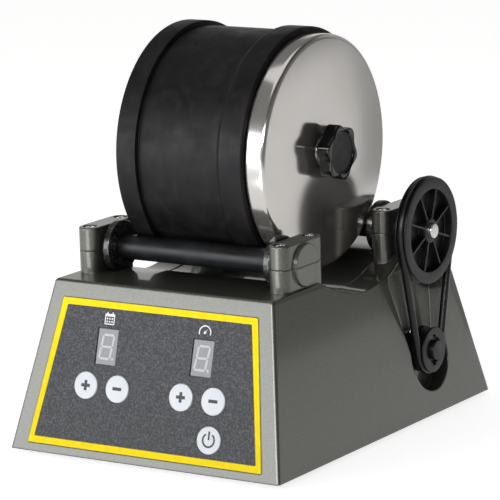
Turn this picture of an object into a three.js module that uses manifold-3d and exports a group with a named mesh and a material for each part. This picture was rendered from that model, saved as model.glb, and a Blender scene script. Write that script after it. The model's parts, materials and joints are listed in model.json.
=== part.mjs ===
// Rotary rock tumbler, in millimetres, +Z up.
// +X points to the lid and belt end, -Y to the control panel, and the origin is on the floor
// under the middle of the base.
import * as THREE from 'three';
import { ConvexGeometry } from 'three/addons/geometries/ConvexGeometry.js';
import { mergeVertices } from 'three/addons/utils/BufferGeometryUtils.js';
import Module from 'manifold-3d';

const wasm = await Module();
wasm.setup();

// ---- Driving dimensions ----
const GAP = 0.15;
const ROUND = { trough: 96, barrel: 52, large: 40, medium: 24, small: 16, fine: 10 };
const HIDDEN = { round: 32, curve: 4 };
const FAR = 130; // past every face of the base

const BASE = {
  standZ: 2.2, height: 87.1, wall: 2.6, edgeRadius: 2.2,
  bottomHalfX: 82.4, topHalfX: 66.9,
  bottomFrontY: -110, bottomBackY: 110, topFrontY: -86, topBackY: 88.2,
};
const DECK_Z = BASE.standZ + BASE.height;

const ROLLER = {
  middleY: 1, spreadY: 51.4, axisZ: 101.2, radius: 6.5, sleeveHalf: 47.1,
  shaftRadius: 4, shaftHalf: 61.2, boreRadius: 4.06, discRadius: 13.9, discInX: 47.25, discOutX: 51.3,
  freeRoom: 0.5, shaftEdge: 0.5, sleeveEdge: 0.3, discEdge: 0.7,
};
const ROLLER_Y = { front: ROLLER.middleY - ROLLER.spreadY, rear: ROLLER.middleY + ROLLER.spreadY };
const REAR_SHAFT_END_X = 82;

const BARREL = {
  closedX: -41.8, openX: 35.3, bandRadius: 64.2, bodyRadius: 61.7, boreRadius: 54, floor: 6,
  leftBandEndX: -29.4, rightBandStartX: 21.6, rampLength: 2.2, edge: 1.4, bandEdge: 0.5,
  dishDeep: 1.2, dishRim: 7.5, dishSlope: 1.5, mouthEdge: 1, floorFillet: 3,
};
const RESTING = Math.sqrt((BARREL.bandRadius + ROLLER.radius + GAP) ** 2 - ROLLER.spreadY ** 2);
const AXIS = { y: ROLLER.middleY, z: ROLLER.axisZ + RESTING };

const POST = {
  centreX: 58.4, thick: 11.6, half: 19.8, topZ: 113.45, rootZ: 79, edge: 0.8,
  bossRadius: 11.2, bossOut: 1.7, bossRoot: 1, bossEdge: 0.5, screwY: 14,
  bushRadius: 6.2, seatDepth: 9.2, blindDepth: 0.9,
};
const CAP_SCREW = { headRadius: 3.5, headHeight: 2.4, shankRadius: 1.9, length: 13, sunk: 0.35 };

const TROUGH = { cheekRadius: 72.3, innerRadius: 95, innerDrop: 0.3, innerOver: 0.8 };
TROUGH.bottomZ = AXIS.z - TROUGH.cheekRadius;
const DISC_CLEARANCE = 1.4;

const PULLEY = {
  frontX: 80, backX: 73.5, radius: 28.4, beltRadius: 27.1, recessRadius: 22.2, recessDepth: 4.4,
  hubRadius: 6.5, hubBackX: 67, ribs: 8, ribThick: 1.1, ribPhase: -18.6,
};
const MOTOR_PULLEY = {
  y: 53.2, z: 36.2, frontX: 80, backX: 71.2, radius: 12.3, beltRadius: 11.6, bossRadius: 5.2, bossX: 82.2,
  ringRadius: 7.1, ringDepth: 1.6, notchWide: 3,
};
const BELT = { radius: 2, x: 76.75, grooveSide: 0.2, grooveBottom: 0.45 };

const POCKET = { y: 53.4, lowZ: 32.7, lowRadius: 19, wideHalf: 28, wideZ: 74, depth: 9, lip: 2 };
const GEARBOX = {
  radius: 12.5, frontX: 61.3, backX: 40, edge: 0.6, screwRadius: 8.5, screwDeep: 6, shaftDeep: 13.3,
  padX: 61.5, padRadius: 14, shaftHole: 4,
};
const GEARBOX_SCREW = { headRadius: 2.6, headHeight: 1.4, shankRadius: 1.5 };
const MOTOR = { radius: 12.1, backX: 8, edge: 1.2, shaftRadius: 2, endRadius: 5, endLong: 3 };

const LID = { backX: 36, faceX: 46.7, radius: 61, edge: 2.8, sheet: 1, hole: 4.5 };
const INNER_LID = {
  plugX: 25, plugRadius: 53.2, plugEdge: 2, flangeX: 35.6, flangeRadius: 59.5, frontX: 45.4, edge: 2.4,
  bore: 4.3,
};
const STUD = {
  radius: 4, headX: 29.6, headRadius: 9, headThick: 3, headEdge: 0.8, tipX: 54.6, tipEdge: 0.8,
};
const WASHER = { radius: 8.5, thick: 1.2, bore: 4.3, edge: 0.3 };
const KNOB = {
  backX: 48.3, frontX: 57.4, radius: 13.9, lobe: 1.2, lobes: 6, lobePhase: -16, bevel: 0.8,
  neckRadius: 9, neckLength: 1.6, bore: 4.3, boreDepth: 6.5,
  insertRadius: 11, insertDepth: 1.8, insertSunk: 0.9,
};

// Distances on the sloping front are measured down the slope from its top edge.
const PANEL = {
  outerTop: { half: 59.3, down: 9 }, outerBottom: { half: 71.5, down: 85.7 },
  innerTop: { half: 56.2, down: 12.4 }, innerBottom: { half: 67.9, down: 82.2 },
  pocket: 0.7, thick: 0.85, seam: 0.05, corner: 0.8, cut: 20,
};
const DISPLAY = { x: 29.2, down: 32.2, wide: 12.6, tall: 19, deep: 8, sunk: 0.25 };
const BUTTON = {
  radius: 7.1, rowDown: 53, innerX: 19.5, outerX: 39, powerDown: 72.6, proud: 0.9, stemRadius: 2.4,
};
const BOARD = { wide: 104, tall: 62, thick: 1.6, middleDown: 50, behind: 9.6 };

const PLATE = {
  thick: 2, z: 2.5, inset: 3.4, bossX: 68, bossY: 92, bossRadius: 4, bossTopZ: 62, holeTopZ: 14,
  slots: 6, slotWide: 3, slotLong: 34, slotStep: 8, slotX: 16,
};
const PLATE_SCREW = { headRadius: 3, headHeight: 1.7, shankRadius: 1.5, length: 8 };
const FOOT = { x: 71, y: 76, radius: 7.5, height: 2.4, edge: 0.5, taper: 0.4 };
const JACK = {
  x: -48, z: 24, radius: 5.4, bore: 2.9, pin: 1, deep: 12, boxWide: 9, boxTall: 11,
  sunk: 0.4, collarLong: 4, wellDeep: 9.4,
};

// ---- Solids ----
function welded(geometry) {
  const bare = geometry.index ? geometry.toNonIndexed() : geometry.clone();
  for (const name of Object.keys(bare.attributes)) {
    if (name !== 'position') bare.deleteAttribute(name);
  }
  bare.clearGroups();
  const merged = mergeVertices(bare, 1e-4);
  const kept = [];
  const index = merged.index.array;
  for (let i = 0; i < index.length; i += 3) {
    const [a, b, c] = [index[i], index[i + 1], index[i + 2]];
    if (a !== b && b !== c && c !== a) kept.push(a, b, c);
  }
  merged.setIndex(kept);
  return signedVolume(merged) < 0 ? turnedInsideOut(merged) : merged;
}

function signedVolume(geometry) {
  const [a, b, c] = [new THREE.Vector3(), new THREE.Vector3(), new THREE.Vector3()];
  const { index, attributes: { position } } = geometry;
  let volume = 0;
  for (let i = 0; i < index.count; i += 3) {
    a.fromBufferAttribute(position, index.getX(i));
    b.fromBufferAttribute(position, index.getX(i + 1));
    c.fromBufferAttribute(position, index.getX(i + 2));
    volume += a.dot(b.cross(c)) / 6;
  }
  return volume;
}

function turnedInsideOut(geometry) {
  const index = Array.from(geometry.index.array);
  for (let i = 0; i < index.length; i += 3) {
    [index[i + 1], index[i + 2]] = [index[i + 2], index[i + 1]];
  }
  geometry.setIndex(index);
  return geometry;
}

function solid(geometry) {
  const clean = welded(geometry);
  return new wasm.Manifold(new wasm.Mesh({
    numProp: 3,
    vertProperties: new Float32Array(clean.attributes.position.array),
    triVerts: new Uint32Array(clean.index.array),
  }));
}

function union(...solids) {
  return solids.reduce((whole, next) => whole.add(next));
}

function without(whole, ...cutters) {
  return cutters.reduce((rest, cutter) => rest.subtract(cutter), whole);
}

function geometryOf(manifold) {
  const mesh = manifold.getMesh();
  const points = new Float32Array(mesh.numVert * 3);
  for (let i = 0; i < mesh.numVert; i++) {
    points.set(mesh.vertProperties.subarray(i * mesh.numProp, i * mesh.numProp + 3), i * 3);
  }
  const geometry = new THREE.BufferGeometry();
  geometry.setAttribute('position', new THREE.BufferAttribute(points, 3));
  geometry.setIndex(Array.from(mesh.triVerts));
  return geometry;
}

// ---- Shapes ----
function turnedOnX(profile, segments) {
  const points = profile.map(([x, radius]) => new THREE.Vector2(radius, x));
  return new THREE.LatheGeometry(points, segments).rotateZ(-Math.PI / 2);
}

function ringProfile(x0, x1, inner, outer, edge) {
  const corner = Math.min(edge, (outer - inner) / 3, (x1 - x0) / 3);
  return [
    [x0, inner], [x0, outer - corner], [x0 + corner, outer],
    [x1 - corner, outer], [x1, outer - corner], [x1, inner], [x0, inner],
  ];
}

function rodProfile(x0, x1, radius, edge) {
  return [
    [x0, 0], [x0, radius - edge], [x0 + edge, radius],
    [x1 - edge, radius], [x1, radius - edge], [x1, 0],
  ];
}

function cylinderX(x0, x1, radius, y, z, segments) {
  const geometry = new THREE.CylinderGeometry(radius, radius, x1 - x0, segments).rotateZ(Math.PI / 2);
  return geometry.translate((x0 + x1) / 2, y, z);
}

function cylinderZ(z0, z1, radius, x, y, segments) {
  const geometry = new THREE.CylinderGeometry(radius, radius, z1 - z0, segments).rotateX(Math.PI / 2);
  return geometry.translate(x, y, (z0 + z1) / 2);
}

function block(x0, x1, y0, y1, z0, z1) {
  const geometry = new THREE.BoxGeometry(x1 - x0, y1 - y0, z1 - z0);
  return geometry.translate((x0 + x1) / 2, (y0 + y1) / 2, (z0 + z1) / 2);
}

// The panel's outline between a top and a bottom edge, each grown outwards by the same distance.
function panelShape(top, bottom, by) {
  const corners = [
    new THREE.Vector2(-bottom.half - by, -bottom.down - by),
    new THREE.Vector2(bottom.half + by, -bottom.down - by),
    new THREE.Vector2(top.half + by, by - top.down),
    new THREE.Vector2(-top.half - by, by - top.down),
  ];
  const shape = new THREE.Shape();
  corners.forEach((point, i) => {
    const before = corners[(i + 3) % 4].clone().sub(point).setLength(PANEL.corner).add(point);
    const after = corners[(i + 1) % 4].clone().sub(point).setLength(PANEL.corner).add(point);
    if (i === 0) shape.moveTo(before.x, before.y);
    else shape.lineTo(before.x, before.y);
    shape.quadraticCurveTo(point.x, point.y, after.x, after.y);
  });
  shape.closePath();
  return shape;
}

function stadium(half, endRadius) {
  const shape = new THREE.Shape();
  shape.absarc(0, half - endRadius, endRadius, 0, Math.PI, false);
  shape.absarc(0, endRadius - half, endRadius, Math.PI, Math.PI * 2, false);
  shape.closePath();
  return shape;
}

// ---- Frames on the sloping faces ----
const frontSlope = new THREE.Vector2(BASE.topFrontY - BASE.bottomFrontY, BASE.height);
const sideSlope = new THREE.Vector2(BASE.bottomHalfX - BASE.topHalfX, BASE.height);
const backSlope = new THREE.Vector2(BASE.bottomBackY - BASE.topBackY, BASE.height);

// Local x runs across the panel, y up the slope and z out of the front face.
const frontFrame = new THREE.Matrix4()
  .makeRotationX(frontSlope.angle())
  .setPosition(0, BASE.topFrontY, DECK_Z);

// Local x is world y, local y runs up the slope and z out of the right face.
const upSide = new THREE.Vector3(-sideSlope.x, 0, sideSlope.y).normalize();
const outOfSide = new THREE.Vector3(sideSlope.y, 0, sideSlope.x).normalize();
const sideFrame = new THREE.Matrix4()
  .makeBasis(new THREE.Vector3(0, 1, 0), upSide, outOfSide)
  .setPosition(BASE.bottomHalfX, 0, BASE.standZ);

// Local x is world -x, local y runs up the slope and z out of the back face.
const upBack = new THREE.Vector3(0, -backSlope.x, backSlope.y).normalize();
const outOfBack = new THREE.Vector3(0, backSlope.y, backSlope.x).normalize();
const jackY = BASE.bottomBackY - backSlope.x * (JACK.z - BASE.standZ) / BASE.height;
const backFrame = new THREE.Matrix4()
  .makeBasis(new THREE.Vector3(-1, 0, 0), upBack, outOfBack)
  .setPosition(JACK.x, jackY, JACK.z);

function onFront(geometry) {
  return geometry.applyMatrix4(frontFrame);
}

// ---- Base housing ----
function taperedSection(z, inset) {
  const t = (z - BASE.standZ) / BASE.height;
  const mix = (low, high) => THREE.MathUtils.lerp(low, high, t);
  const across = (slope) => inset * slope.length() / BASE.height;
  return {
    x: mix(BASE.bottomHalfX, BASE.topHalfX) - across(sideSlope),
    front: mix(BASE.bottomFrontY, BASE.topFrontY) + across(frontSlope),
    back: mix(BASE.bottomBackY, BASE.topBackY) - across(backSlope),
    z,
  };
}

function sectionCorners({ x, front, back, z }) {
  return [[-x, front, z], [x, front, z], [x, back, z], [-x, back, z]].map((c) => new THREE.Vector3(...c));
}

function roundedFrustum(lowZ, radius) {
  const ball = new THREE.SphereGeometry(radius, 12, 6).attributes.position;
  const points = [];
  for (const section of [taperedSection(lowZ, radius), taperedSection(DECK_Z - radius, radius)]) {
    for (const corner of sectionCorners(section)) {
      for (let i = 0; i < ball.count; i++) {
        points.push(new THREE.Vector3().fromBufferAttribute(ball, i).add(corner));
      }
    }
  }
  return solid(new ConvexGeometry(points));
}

function plainFrustum(lowZ, highZ, inset) {
  const points = [lowZ, highZ].flatMap((z) => sectionCorners(taperedSection(z, inset)));
  return solid(new ConvexGeometry(points));
}

function troughCutter(grow, segments) {
  const cheek = cylinderX(-FAR, FAR, TROUGH.cheekRadius + grow, AXIS.y, AXIS.z, segments);
  const halfX = POST.centreX - POST.thick / 2 + TROUGH.innerOver + grow;
  const innerZ = TROUGH.bottomZ - TROUGH.innerDrop + TROUGH.innerRadius;
  const inner = cylinderX(-halfX, halfX, TROUGH.innerRadius + grow, AXIS.y, innerZ, segments);
  return union(solid(cheek), solid(inner));
}

function discCutters(grow, segments) {
  const cutters = [];
  for (const side of [-1, 1]) {
    for (const y of Object.values(ROLLER_Y)) {
      const near = ROLLER.discInX - 0.8 - grow;
      const far = POST.centreX - POST.thick / 4 + grow;
      const [x0, x1] = side > 0 ? [near, far] : [-far, -near];
      const radius = ROLLER.discRadius + DISC_CLEARANCE + grow;
      cutters.push(solid(cylinderX(x0, x1, radius, y, ROLLER.axisZ, segments)));
    }
  }
  return cutters;
}

function pocketOutline(grow) {
  const lift = BASE.height / sideSlope.length();
  const low = (POCKET.lowZ - BASE.standZ) / lift;
  const wide = (POCKET.wideZ - BASE.standZ) / lift;
  const high = DECK_Z / lift;
  const lean = Math.atan2(POCKET.wideHalf - POCKET.lowRadius, wide - low);
  const radius = POCKET.lowRadius + grow;
  const half = POCKET.wideHalf + grow;
  const shape = new THREE.Shape();
  shape.moveTo(POCKET.y + half, high);
  shape.lineTo(POCKET.y - half, high);
  shape.lineTo(POCKET.y - half, wide);
  shape.absarc(POCKET.y, low, radius, Math.PI - lean, Math.PI * 2 + lean, false);
  shape.lineTo(POCKET.y + half, wide);
  shape.closePath();
  return shape;
}

function beltPocket(grow, curveSegments) {
  const depth = POCKET.depth + grow;
  const options = { depth: depth + FAR, bevelEnabled: false, curveSegments };
  const well = new THREE.ExtrudeGeometry(pocketOutline(grow), options).translate(0, 0, -depth);
  const lip = POCKET.lip - grow;
  const cover = cylinderX(-FAR, FAR, TROUGH.cheekRadius + lip, AXIS.y, AXIS.z, curveSegments * 6);
  return without(solid(well.applyMatrix4(sideFrame)), solid(cover), above(DECK_Z - lip));
}

function postSolid(side, y, z0, z1) {
  const options = { depth: z1 - z0, bevelEnabled: false, curveSegments: 6 };
  const column = new THREE.ExtrudeGeometry(stadium(POST.half, POST.thick / 2), options);
  return solid(column.translate(side * POST.centreX, y, z0));
}

function bossSolid(side, y) {
  const { bossRadius, bossOut, bossRoot, bossEdge } = POST;
  const outer = POST.centreX + POST.thick / 2;
  const profile = [
    [outer - bossRoot, 0], [outer - bossRoot, bossRadius], [outer + bossOut - bossEdge, bossRadius],
    [outer + bossOut, bossRadius - bossEdge], [outer + bossOut, 0],
  ];
  const boss = turnedOnX(profile, ROUND.medium);
  if (side < 0) boss.rotateZ(Math.PI);
  return solid(boss.translate(0, y, ROLLER.axisZ));
}

function seatCutter(side, y, through) {
  const inner = POST.centreX - POST.thick / 2;
  const seatEnd = inner + POST.seatDepth;
  const seat = cylinderX(inner - POST.thick, seatEnd, POST.bushRadius + GAP, 0, 0, ROUND.small);
  const reach = through ? FAR : POST.blindDepth;
  const holeRadius = ROLLER.shaftRadius + ROLLER.freeRoom;
  const shaftHole = cylinderX(inner, seatEnd + reach, holeRadius, 0, 0, ROUND.small);
  const parts = [seat, shaftHole].map((part) => {
    if (side < 0) part.rotateZ(Math.PI);
    return solid(part.translate(0, y, ROLLER.axisZ));
  });
  return union(...parts);
}

function below(z) {
  return solid(block(-FAR, FAR, -FAR, FAR, -FAR, z));
}

function above(z) {
  return solid(block(-FAR, FAR, -FAR, FAR, z, z + FAR));
}

function forEachPost(visit) {
  for (const [sideName, side] of [['left', -1], ['right', 1]]) {
    for (const [rowName, y] of Object.entries(ROLLER_Y)) {
      visit({ name: `${rowName}_${sideName}`, side, y, through: side > 0 && rowName === 'rear' });
    }
  }
}

function lowerPosts() {
  const posts = [];
  forEachPost(({ side, y, through }) => {
    const column = postSolid(side, y, POST.rootZ, ROLLER.axisZ);
    const boss = without(bossSolid(side, y), above(ROLLER.axisZ));
    const screwHoles = [-1, 1].map((end) => solid(cylinderZ(
      POST.topZ - CAP_SCREW.length - 4, POST.topZ, CAP_SCREW.shankRadius + GAP,
      side * POST.centreX, y + end * POST.screwY, ROUND.fine,
    )));
    posts.push(without(union(column, boss), seatCutter(side, y, through), ...screwHoles));
  });
  return posts;
}

function panelOpenings() {
  const cutters = [];
  const depth = PANEL.pocket + PANEL.cut;
  const options = { depth, bevelEnabled: false, curveSegments: 6 };
  const bed = new THREE.ExtrudeGeometry(panelShape(PANEL.outerTop, PANEL.outerBottom, GAP), options);
  cutters.push(bed.translate(0, 0, -PANEL.pocket));
  for (const side of [-1, 1]) {
    const window = new THREE.BoxGeometry(DISPLAY.wide + 0.6, DISPLAY.tall + 0.6, PANEL.cut);
    cutters.push(window.translate(side * DISPLAY.x, -DISPLAY.down, 0));
  }
  for (const { x, down } of Object.values(buttonPlaces())) {
    cutters.push(cylinderZ(-PANEL.cut, PANEL.cut, BUTTON.radius + 0.4, x, -down, ROUND.small));
  }
  return cutters.map((cutter) => solid(onFront(cutter)));
}

function buttonPlaces() {
  const { outerX, innerX, rowDown, powerDown } = BUTTON;
  return {
    days_plus: { x: -outerX, down: rowDown },
    days_minus: { x: -innerX, down: rowDown },
    speed_plus: { x: innerX, down: rowDown },
    speed_minus: { x: outerX, down: rowDown },
    power: { x: outerX, down: powerDown },
  };
}

function plateBosses() {
  const bosses = [];
  for (const x of [-PLATE.bossX, PLATE.bossX]) {
    for (const y of [-PLATE.bossY, PLATE.bossY]) {
      const inside = plainFrustum(0, DECK_Z, 1);
      const footZ = PLATE.z + PLATE.thick + GAP;
      const column = solid(cylinderZ(footZ, PLATE.bossTopZ, PLATE.bossRadius, x, y, ROUND.fine));
      const screwHole = solid(cylinderZ(0, PLATE.holeTopZ, PLATE_SCREW.shankRadius + GAP, x, y, ROUND.fine));
      bosses.push(without(column.intersect(inside), screwHole));
    }
  }
  return bosses;
}

function gearboxPad() {
  const { padX, padRadius } = GEARBOX;
  const { y, z } = MOTOR_PULLEY;
  const pad = cylinderX(padX, padX + POCKET.depth, padRadius, y, z, ROUND.small);
  return solid(pad).subtract(beltPocket(BASE.wall / 2, HIDDEN.curve));
}

function gearboxHoles() {
  const { backX, screwRadius } = GEARBOX;
  const { y, z } = MOTOR_PULLEY;
  const shaftHole = cylinderX(backX, FAR, GEARBOX.shaftHole, y, z, ROUND.small);
  const screwHoles = [-1, 1].map((end) => (
    cylinderX(backX, FAR, GEARBOX_SCREW.shankRadius + GAP, y, z + end * screwRadius, ROUND.fine)
  ));
  return [shaftHole, ...screwHoles].map(solid);
}

function jackHole() {
  const hole = cylinderZ(-JACK.deep / 2, JACK.deep / 2, JACK.radius + GAP, 0, 0, ROUND.small);
  return solid(hole.applyMatrix4(backFrame));
}

function baseHousing() {
  const outside = roundedFrustum(-12, BASE.edgeRadius).subtract(below(BASE.standZ));
  const shell = without(
    outside, troughCutter(0, ROUND.trough), ...discCutters(0, ROUND.medium), beltPocket(0, 12),
  );
  const cavity = without(
    plainFrustum(-8, DECK_Z - BASE.wall, BASE.wall), troughCutter(BASE.wall, HIDDEN.round),
    ...discCutters(BASE.wall, HIDDEN.round / 4), beltPocket(BASE.wall, HIDDEN.curve),
  );
  const hollow = shell.subtract(cavity);
  const filled = union(hollow, ...lowerPosts(), ...plateBosses(), gearboxPad());
  return without(filled, ...gearboxHoles(), ...panelOpenings(), jackHole());
}

// ---- Bearings ----
function chamferedCap(side, y) {
  const options = {
    depth: POST.topZ - ROLLER.axisZ, curveSegments: 6,
    bevelThickness: POST.edge, bevelSize: POST.edge, bevelOffset: -POST.edge, bevelSegments: 1,
  };
  const column = new THREE.ExtrudeGeometry(stadium(POST.half, POST.thick / 2), options);
  column.translate(side * POST.centreX, y, ROLLER.axisZ - POST.edge);
  return solid(column);
}

function bearingCap(side, y, through) {
  const boss = bossSolid(side, y);
  const cutters = [seatCutter(side, y, through), below(ROLLER.axisZ + GAP)];
  for (const end of [-1, 1]) {
    const [x, holeY] = [side * POST.centreX, y + end * POST.screwY];
    const sunk = POST.topZ - CAP_SCREW.headHeight - CAP_SCREW.sunk;
    cutters.push(solid(cylinderZ(POST.rootZ, FAR, CAP_SCREW.shankRadius + GAP, x, holeY, ROUND.fine)));
    cutters.push(solid(cylinderZ(sunk, FAR, CAP_SCREW.headRadius + 0.3, x, holeY, ROUND.small)));
  }
  return geometryOf(without(union(chamferedCap(side, y), boss), ...cutters));
}

function screwBlank({ headRadius, headHeight, shankRadius, length }) {
  const profile = [
    [0, -length], [shankRadius, -length], [shankRadius, 0], [headRadius, 0], [headRadius, headHeight * 0.5],
    [headRadius * 0.6, headHeight], [0, headHeight],
  ].map(([radius, z]) => new THREE.Vector2(radius, z));
  return new THREE.LatheGeometry(profile, ROUND.fine).rotateX(Math.PI / 2);
}

function crossHeadScrew(size) {
  const { headRadius, headHeight } = size;
  const slots = [0, Math.PI / 2].map((turn) => {
    const slot = new THREE.BoxGeometry(headRadius * 1.15, headRadius * 0.26, headHeight * 1.2);
    return solid(slot.translate(0, 0, headHeight).rotateZ(turn + 0.5));
  });
  return geometryOf(without(solid(screwBlank(size)), ...slots));
}

function bushing(side) {
  const inner = POST.centreX - POST.thick / 2;
  const bore = ROLLER.boreRadius + 0.02;
  const flangeX = inner - 1.1;
  const ring = turnedOnX([
    [flangeX, bore], [flangeX, 8.2], [inner - GAP, 8.2], [inner - GAP, POST.bushRadius],
    [inner + POST.seatDepth - GAP, POST.bushRadius], [inner + POST.seatDepth - GAP, bore], [flangeX, bore],
  ], ROUND.small);
  return side < 0 ? ring.rotateZ(Math.PI) : ring;
}

// ---- Rollers, pulleys and belt ----
function rollerDisc(side) {
  const { discInX, discOutX, boreRadius, discRadius, discEdge } = ROLLER;
  const disc = turnedOnX(ringProfile(discInX, discOutX, boreRadius, discRadius, discEdge), ROUND.medium);
  return side < 0 ? disc.rotateZ(Math.PI) : disc;
}

function beltGroove(beltRadius, rimRadius) {
  const half = BELT.radius + BELT.grooveSide;
  const bottom = beltRadius - BELT.radius - BELT.grooveBottom;
  return [
    [BELT.x - half, rimRadius], [BELT.x - half, beltRadius], [BELT.x - half * 0.6, bottom],
    [BELT.x + half * 0.6, bottom], [BELT.x + half, beltRadius], [BELT.x + half, rimRadius],
  ];
}

function drivenPulley() {
  const { frontX, backX, radius, beltRadius, recessRadius, recessDepth, hubRadius, hubBackX } = PULLEY;
  const bore = ROLLER.boreRadius;
  const body = solid(turnedOnX([
    [hubBackX, bore], [hubBackX, hubRadius], [backX + 1.5, hubRadius + 1], [backX + 1.5, recessRadius],
    [backX, recessRadius + 1], [backX, radius - 0.5], [backX + 0.5, radius],
    ...beltGroove(beltRadius, radius),
    [frontX - 0.5, radius], [frontX, radius - 0.5],
    [frontX, recessRadius + 0.4], [frontX - 0.4, recessRadius], [frontX - recessDepth, recessRadius],
    [frontX - recessDepth, hubRadius], [frontX - 0.5, hubRadius - 0.3], [frontX - 0.2, hubRadius - 0.6],
    [frontX - 0.2, bore], [hubBackX, bore],
  ], ROUND.large));
  const ribs = [];
  for (let i = 0; i < PULLEY.ribs; i++) {
    const rib = block(frontX - recessDepth - 0.3, frontX - 0.6, hubRadius - 1, recessRadius + 1,
      -PULLEY.ribThick / 2, PULLEY.ribThick / 2);
    rib.rotateX(THREE.MathUtils.degToRad(PULLEY.ribPhase) + i * Math.PI * 2 / PULLEY.ribs);
    ribs.push(solid(rib));
  }
  return geometryOf(union(body, ...ribs));
}

function motorPulley() {
  const { frontX, backX, radius, beltRadius, bossRadius, bossX } = MOTOR_PULLEY;
  const { ringRadius, ringDepth, notchWide } = MOTOR_PULLEY;
  const body = solid(turnedOnX([
    [backX, 0], [backX, radius - 0.6], [backX + 0.6, radius], ...beltGroove(beltRadius, radius),
    [frontX - 0.5, radius], [frontX, radius - 0.5], [frontX, ringRadius],
    [frontX - ringDepth, ringRadius], [frontX - ringDepth, bossRadius], [bossX - 0.4, bossRadius],
    [bossX, bossRadius - 0.4], [bossX, 0],
  ], ROUND.medium));
  const bore = solid(cylinderX(backX - 1, bossX - 1.2, MOTOR.shaftRadius + 0.06, 0, 0, ROUND.small));
  const notch = solid(block(frontX - ringDepth, frontX + 5, -notchWide / 2, notchWide / 2,
    -ringRadius - 1.2, ringRadius + 1.2));
  const keep = solid(cylinderX(frontX - 9, frontX + 9, bossRadius, 0, 0, ROUND.medium));
  return geometryOf(without(body, bore, notch.subtract(keep)));
}

function beltOutline(offset) {
  const top = new THREE.Vector2(ROLLER_Y.rear, ROLLER.axisZ);
  const low = new THREE.Vector2(MOTOR_PULLEY.y, MOTOR_PULLEY.z);
  const between = top.clone().sub(low);
  const [topRadius, lowRadius] = [PULLEY.beltRadius + offset, MOTOR_PULLEY.beltRadius + offset];
  const lean = Math.asin((topRadius - lowRadius) / between.length());
  const start = between.angle() - Math.PI / 2 - lean;
  const shape = new THREE.Shape();
  shape.absarc(top.x, top.y, topRadius, start, start + Math.PI + 2 * lean, false);
  shape.absarc(low.x, low.y, lowRadius, start + Math.PI + 2 * lean, start + Math.PI * 2, false);
  shape.closePath();
  return shape;
}

function belt() {
  const core = 0.35;
  const outline = beltOutline(core);
  outline.holes.push(beltOutline(-core));
  const bevel = BELT.radius - core;
  const geometry = new THREE.ExtrudeGeometry(outline, {
    depth: core * 2, curveSegments: 13, bevelThickness: bevel, bevelSize: bevel, bevelSegments: 2,
  });
  const toYZ = new THREE.Matrix4().makeBasis(
    new THREE.Vector3(0, 1, 0), new THREE.Vector3(0, 0, 1), new THREE.Vector3(1, 0, 0),
  );
  return geometry.translate(0, 0, -core).applyMatrix4(toYZ).translate(BELT.x, 0, 0);
}

// ---- Drive ----
function gearbox() {
  const { radius, frontX, backX, edge, screwRadius, screwDeep, shaftDeep } = GEARBOX;
  const body = solid(turnedOnX(rodProfile(backX, frontX, radius, edge), ROUND.medium));
  const bore = solid(cylinderX(frontX - shaftDeep, frontX + 1, MOTOR.shaftRadius + 0.1, 0, 0, ROUND.small));
  const holeRadius = GEARBOX_SCREW.shankRadius + GAP;
  const holes = [-1, 1].map((end) => (
    solid(cylinderX(frontX - screwDeep, frontX + 1, holeRadius, 0, end * screwRadius, ROUND.fine))
  ));
  return geometryOf(without(body, bore, ...holes));
}

function motorCan() {
  const { backX, radius, edge, endRadius, endLong } = MOTOR;
  const frontX = GEARBOX.backX - GAP;
  return turnedOnX([
    [backX - endLong, 0], [backX - endLong, endRadius], [backX, endRadius], [backX, radius - edge],
    [backX + edge, radius], [frontX, radius], [frontX, 0],
  ], ROUND.medium);
}

function pocketFloorX(z) {
  const faceX = BASE.bottomHalfX - sideSlope.x * (z - BASE.standZ) / BASE.height;
  return faceX - POCKET.depth * sideSlope.length() / BASE.height;
}

function gearboxScrew(seatX) {
  const length = seatX - GEARBOX.frontX + 5;
  const screw = screwBlank({ ...GEARBOX_SCREW, length });
  return screw.rotateY(Math.PI / 2).translate(seatX, 0, 0);
}

// ---- Barrel and lid ----
function barrelTub() {
  const { closedX, openX, bandRadius, bodyRadius, boreRadius, floor, edge, bandEdge } = BARREL;
  const { leftBandEndX, rightBandStartX, rampLength, mouthEdge, floorFillet } = BARREL;
  const { dishDeep, dishRim, dishSlope } = BARREL;
  const floorX = closedX + floor;
  return turnedOnX([
    [closedX + dishDeep, 0], [closedX + dishDeep, bandRadius - dishRim - dishSlope],
    [closedX, bandRadius - dishRim], [closedX, bandRadius - edge], [closedX + edge, bandRadius],
    [leftBandEndX - bandEdge, bandRadius], [leftBandEndX, bandRadius - bandEdge],
    [leftBandEndX, bodyRadius], [rightBandStartX - rampLength, bodyRadius],
    [rightBandStartX, bandRadius], [openX - edge, bandRadius], [openX, bandRadius - edge],
    [openX, boreRadius + mouthEdge], [openX - mouthEdge, boreRadius],
    [floorX + floorFillet, boreRadius], [floorX, boreRadius - floorFillet], [floorX, 0],
  ], ROUND.barrel);
}

// The rubber closes behind the stud's head, so the stud's hole doesn't reach the barrel's inside.
function innerLid() {
  const { plugX, plugRadius, plugEdge, flangeX, flangeRadius, frontX, edge, bore } = INNER_LID;
  const [headBack, headFront] = [STUD.headX - GAP, STUD.headX + STUD.headThick + GAP];
  const headRoom = STUD.headRadius + GAP;
  return turnedOnX([
    [plugX, 0], [plugX, plugRadius - plugEdge], [plugX + plugEdge, plugRadius],
    [flangeX, plugRadius], [flangeX, flangeRadius], [frontX - edge, flangeRadius],
    [frontX, flangeRadius - edge], [frontX, bore], [headFront, bore],
    [headFront, headRoom], [headBack, headRoom], [headBack, 0],
  ], ROUND.large);
}

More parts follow.
